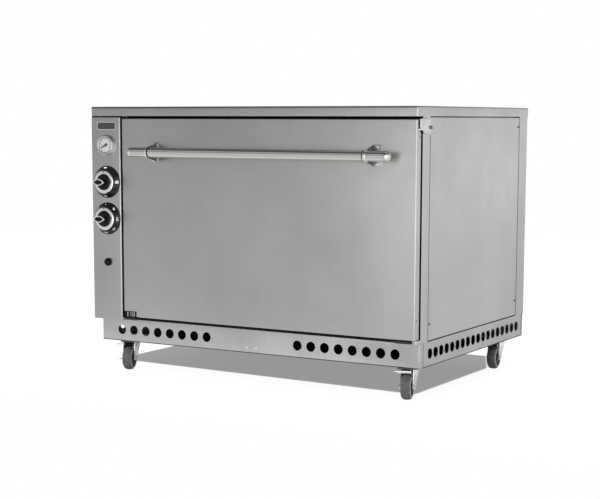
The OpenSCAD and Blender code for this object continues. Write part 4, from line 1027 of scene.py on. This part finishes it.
def hood(x, z):
    """Sloping hood over one slot, with a cheek at each end."""
    outer = [(BACK_Y - 0.2, z + 12), (BACK_Y + 2, z + 11), (BACK_Y + 4.2, z + 7), (BACK_Y + 5, z + 1)]
    inner = [(BACK_Y + 4.2, z + 1), (BACK_Y + 3.4, z + 6.6), (BACK_Y + 1.4, z + 10),
             (BACK_Y - 0.2, z + 10.8)]
    cheek = outer + [(BACK_Y - 0.2, z + 1)]
    spans = ((outer + inner, x, x + LOUVRE_W), (cheek, x, x + 1), (cheek, x + LOUVRE_W - 1, x + LOUVRE_W))
    return [plate(outline, lambda u, v, h: at(h, u, v), x0, x1, 0) for outline, x0, x1 in spans]


hoods = [part for x in LOUVRE_XS for k in range(10) for part in hood(x, LOUVRE_Z + LOUVRE_PITCH * k)]
piece("louvre_hoods", joined(hoods), materials["galvanised"])
heads = []
for x, z in edge_places((36, 318, 600, 882, 1164), (198, 844), (414, 630)):
    heads.append(screw_head(facing_back(x, z, BACK_Y), 4, 2))
for x, z in arc(FLUE_X, FLUE_Z, 57.5, range(45, 360, 90)):
    heads.append(screw_head(facing_back(x, z, BACK_Y + 1.5), 3.5, 1.8))
piece("back_screws", joined(heads), materials["zinc"])
bead = softened([(48.6, 60.4), (50.1, 55), (51.6, 56.5), (51.6, 60), (50, 61.8), (48.6, 60.4)], 0.7)
piece("flue_bead", lathe(bead, facing_back(FLUE_X, FLUE_Z, BACK_Y), 96),
      materials["galvanised"])
thread = [(10.55, 18)]
for k in range(15):
    thread += [(10.95, 18.9 + 2 * k), (10.55, 19.9 + 2 * k)]
piece("inlet_thread", lathe(thread, facing_back(64, 300, BACK_Y), 48), materials["brass"])


# Inside of the door: a raised ridge on the inner sheet, and its screws

RIDGE_W = 8
inner_y = box_mm("door_inner")[1].y
field = frame_of(rounded_outline(455, 260, 30), rounded_outline(455 - RIDGE_W, 260 - RIDGE_W, 26),
                 lambda u, v, h: at(660 + u, h, 522 + v), inner_y - 0.1, inner_y + 1.4)
bmesh.ops.bevel(field, geom=field.edges[:], offset=0.6 * MM, segments=2, affect="EDGES")
piece("door_press", field, materials["liner_steel"], "door")
heads = []
for x, z in edge_places((142, 401, 660, 919, 1180), (206, 840), (420, 630)):
    heads.append(screw_head(facing_back(x, z, inner_y), 4, 1.8))
piece("door_inner_screws", joined(heads), materials["zinc"], "door")


# Casters: plate and race, swivel fork with tapered legs, and a wheel with a rimmed hub

PLATE_Z = 107
AXLE_Z = 40
TRAIL = 28
LEG_X = 18
LEG_T = 3
CROWN_Z0, CROWN_Z1 = 94, 97
CASTERS = {"fl": (67, 120, 18), "fr": (1123, 120, 14), "rl": (67, 778, 10), "rr": (1133, 778, 6)}


def turned(cx, cy, degrees):
    c, s = polar(1, degrees)
    return lambda x, y, z: at(cx + x * c - y * s, cy + x * s + y * c, z)


plates = []
for cx, cy, _ in CASTERS.values():
    place = upright(cx, cy)
    plates.append(plate(rounded_outline(38, 38, 8), place, PLATE_Z - 3.5, PLATE_Z, 0.5))
    plates.append(lathe(softened([(0, CROWN_Z1 + 0.3), (21, CROWN_Z1 + 0.3), (22, CROWN_Z1 + 2),
                                  (22, PLATE_Z - 3.5)], 1), place, 48))
    plates.append(lathe(softened([(5, CROWN_Z1), (5, CROWN_Z0 - 0.4), (9, CROWN_Z0 - 0.4),
                                  (8.6, CROWN_Z0 - 4), (6, CROWN_Z0 - 5), (0, CROWN_Z0 - 5)], 0.8),
                        place, 32))
    for u in (-30, 30):
        for v in (-30, 30):
            plates.append(lathe([(5, PLATE_Z - 3.5), (5, PLATE_Z - 7), (4, PLATE_Z - 7.6),
                                 (0, PLATE_Z - 7.6)], upright(cx + u, cy + v), 6))
# The caster plates and races in dark steel are painted shade under the base
piece("caster_mounts_painted_shade", joined(plates), screw_dark_and_painted_shade, node="caster_plates")

CROWN_R = 31
LEG_BACK = 16


def flare(local):
    """Curved shoulder that runs from the crown's front down into the right leg."""
    bm = bmesh.new()
    rows = []
    for z, x0, x1, y1 in ((99.5, 8, 33, -12), (94, 9, 33, -13), (89, 12, 32, -15), (70, 16, 28.5, -18),
                          (40, 18.4, 24.5, -24)):
        line = softened([(x0, -CROWN_R), (x1, y1), (x1, y1 + 5)], 3, steps=3)
        rows.append([bm.verts.new(local(u, v, z)) for u, v in line])
    for a, b in zip(rows, rows[1:]):
        for k in range(len(a) - 1):
            bm.faces.new((a[k], a[k + 1], b[k + 1], b[k]))
    bmesh.ops.solidify(bm, geom=bm.faces[:], thickness=1.4 * MM)
    return bm


def fork_pieces(key, local, axle):
    """Crown, black plate over the wheel, flared shoulder, legs, axle bolt and nuts of one caster; the
    crown, left leg and black plate are painted shade.
    """
    crown_outline = softened([(-CROWN_R, -CROWN_R), (CROWN_R, -CROWN_R)], 3)
    crown_outline += arc(0, 0, CROWN_R, range(0, 181, 10))
    lip = [(-30, -19), (-43, -33), (-39, -35), (-19, -34), (-15, -30)]
    bright = [flare(local), plate(softened(lip, 1.5, closed=True, steps=2), local, 85.5, 89.5, 0.6)]
    # The crown is dark steel: painted shade under the base
    dark = [plate(crown_outline, local, CROWN_Z0, CROWN_Z1, 0.8)]
    if key == "fr":
        bar = [(-31, 81.4), (10, 81.4), (13, 84), (13, 89.6), (-31, 89.6)]
        bright.append(plate(softened(bar, 1.5, closed=True), lambda u, v, h: local(u, h, v),
                            -CROWN_R - 2.6, -CROWN_R + 0.2, 0.6))
    # A black plate between the legs over the wheel: painted shade of the fork's inside
    hood = [(-17.5, 58), (-16.2, 58), (-16.2, 80.3), (16.2, 80.3), (16.2, 58), (17.5, 58), (17.5, 93.9),
            (-17.5, 93.9)]
    shade = plate(hood, lambda u, v, h: local(u, h, v), -CROWN_R + 0.5, 4, 0.2)
    leg_outline = arc(-TRAIL, AXLE_Z, 9, range(180, 361, 15))
    leg_outline += [(CROWN_R - LEG_BACK, CROWN_Z0 - 6), (CROWN_R - LEG_BACK, CROWN_Z1 - 0.5),
                    (-CROWN_R, CROWN_Z1 - 0.5), (-CROWN_R - 0.5, CROWN_Z0 - 10)]
    leg_outline = softened(leg_outline, 1.5, closed=True, steps=2)
    left_leg, right_leg = [plate(leg_outline, lambda u, v, h: local(h, u, v), x, x + LEG_T, 0.6)
                           for x in (-LEG_X - LEG_T, LEG_X)]
    # The left leg is dark steel: painted shade on the side away from the light
    dark.append(left_leg)
    outside = LEG_X + LEG_T
    zinc = [right_leg, lathe([(4, -outside), (4, outside)], axle, 24)]
    for way in (-1, 1):
        nut = [(6.6, outside), (6.6, outside + 3), (5.4, outside + 4), (0, outside + 4)]
        zinc.append(lathe([(r, way * h) for r, h in nut], axle, 6))
    fork = "fork_" + key
    piece("caster_fork_" + key, joined(zinc), materials["zinc"], fork, fork)
    piece("caster_flare_" + key, joined(bright), lip_bright, fork, fork)
    piece("caster_crown_painted_shade_" + key, joined(dark), screw_dark_and_painted_shade, fork, fork)
    piece("caster_painted_shade_" + key, shade, painted_shade_black, fork)


def wheel_pieces(key, axle):
    """Tread, dished hub and bright rims of one wheel."""
    tread = softened([(28.5, -14), (31, -15), (34.5, -14.6), (38.4, -10.5), (40, 0), (38.4, 10.5),
                      (34.5, 14.6), (31, 15), (28.5, 14)], 2.5, steps=4)
    recess, rims = [], []
    for way in (-1, 1):
        hollow = softened([(28.6, way * 13.8), (25.4, way * 11), (11, way * 11), (10, way * 16),
                           (4.2, way * 16), (4.1, 0)], 0.8)
        recess.append(lathe(hollow, axle, 72))
        rim = softened([(28.4, way * 13.2), (28.7, way * 15.5), (29.5, way * 15.9), (32, way * 15.7),
                        (32.8, way * 14.6)], 0.5)
        rims.append(lathe(rim, axle, 72))
    wheel = "wheel_" + key
    piece("caster_tread_" + key, lathe(tread, axle, 72), materials["wheel_rubber"], wheel, wheel)
    piece("caster_hub_" + key, joined(recess), hub_dark, wheel, wheel)
    piece("caster_rim_" + key, joined(rims), rim_light, wheel, wheel)


for key, (cx, cy, degrees) in CASTERS.items():
    local = turned(cx, cy, degrees)
    axle = lambda u, v, h, local=local: local(h, -TRAIL + u, AXLE_Z + v)
    fork_pieces(key, local, axle)
    wheel_pieces(key, axle)
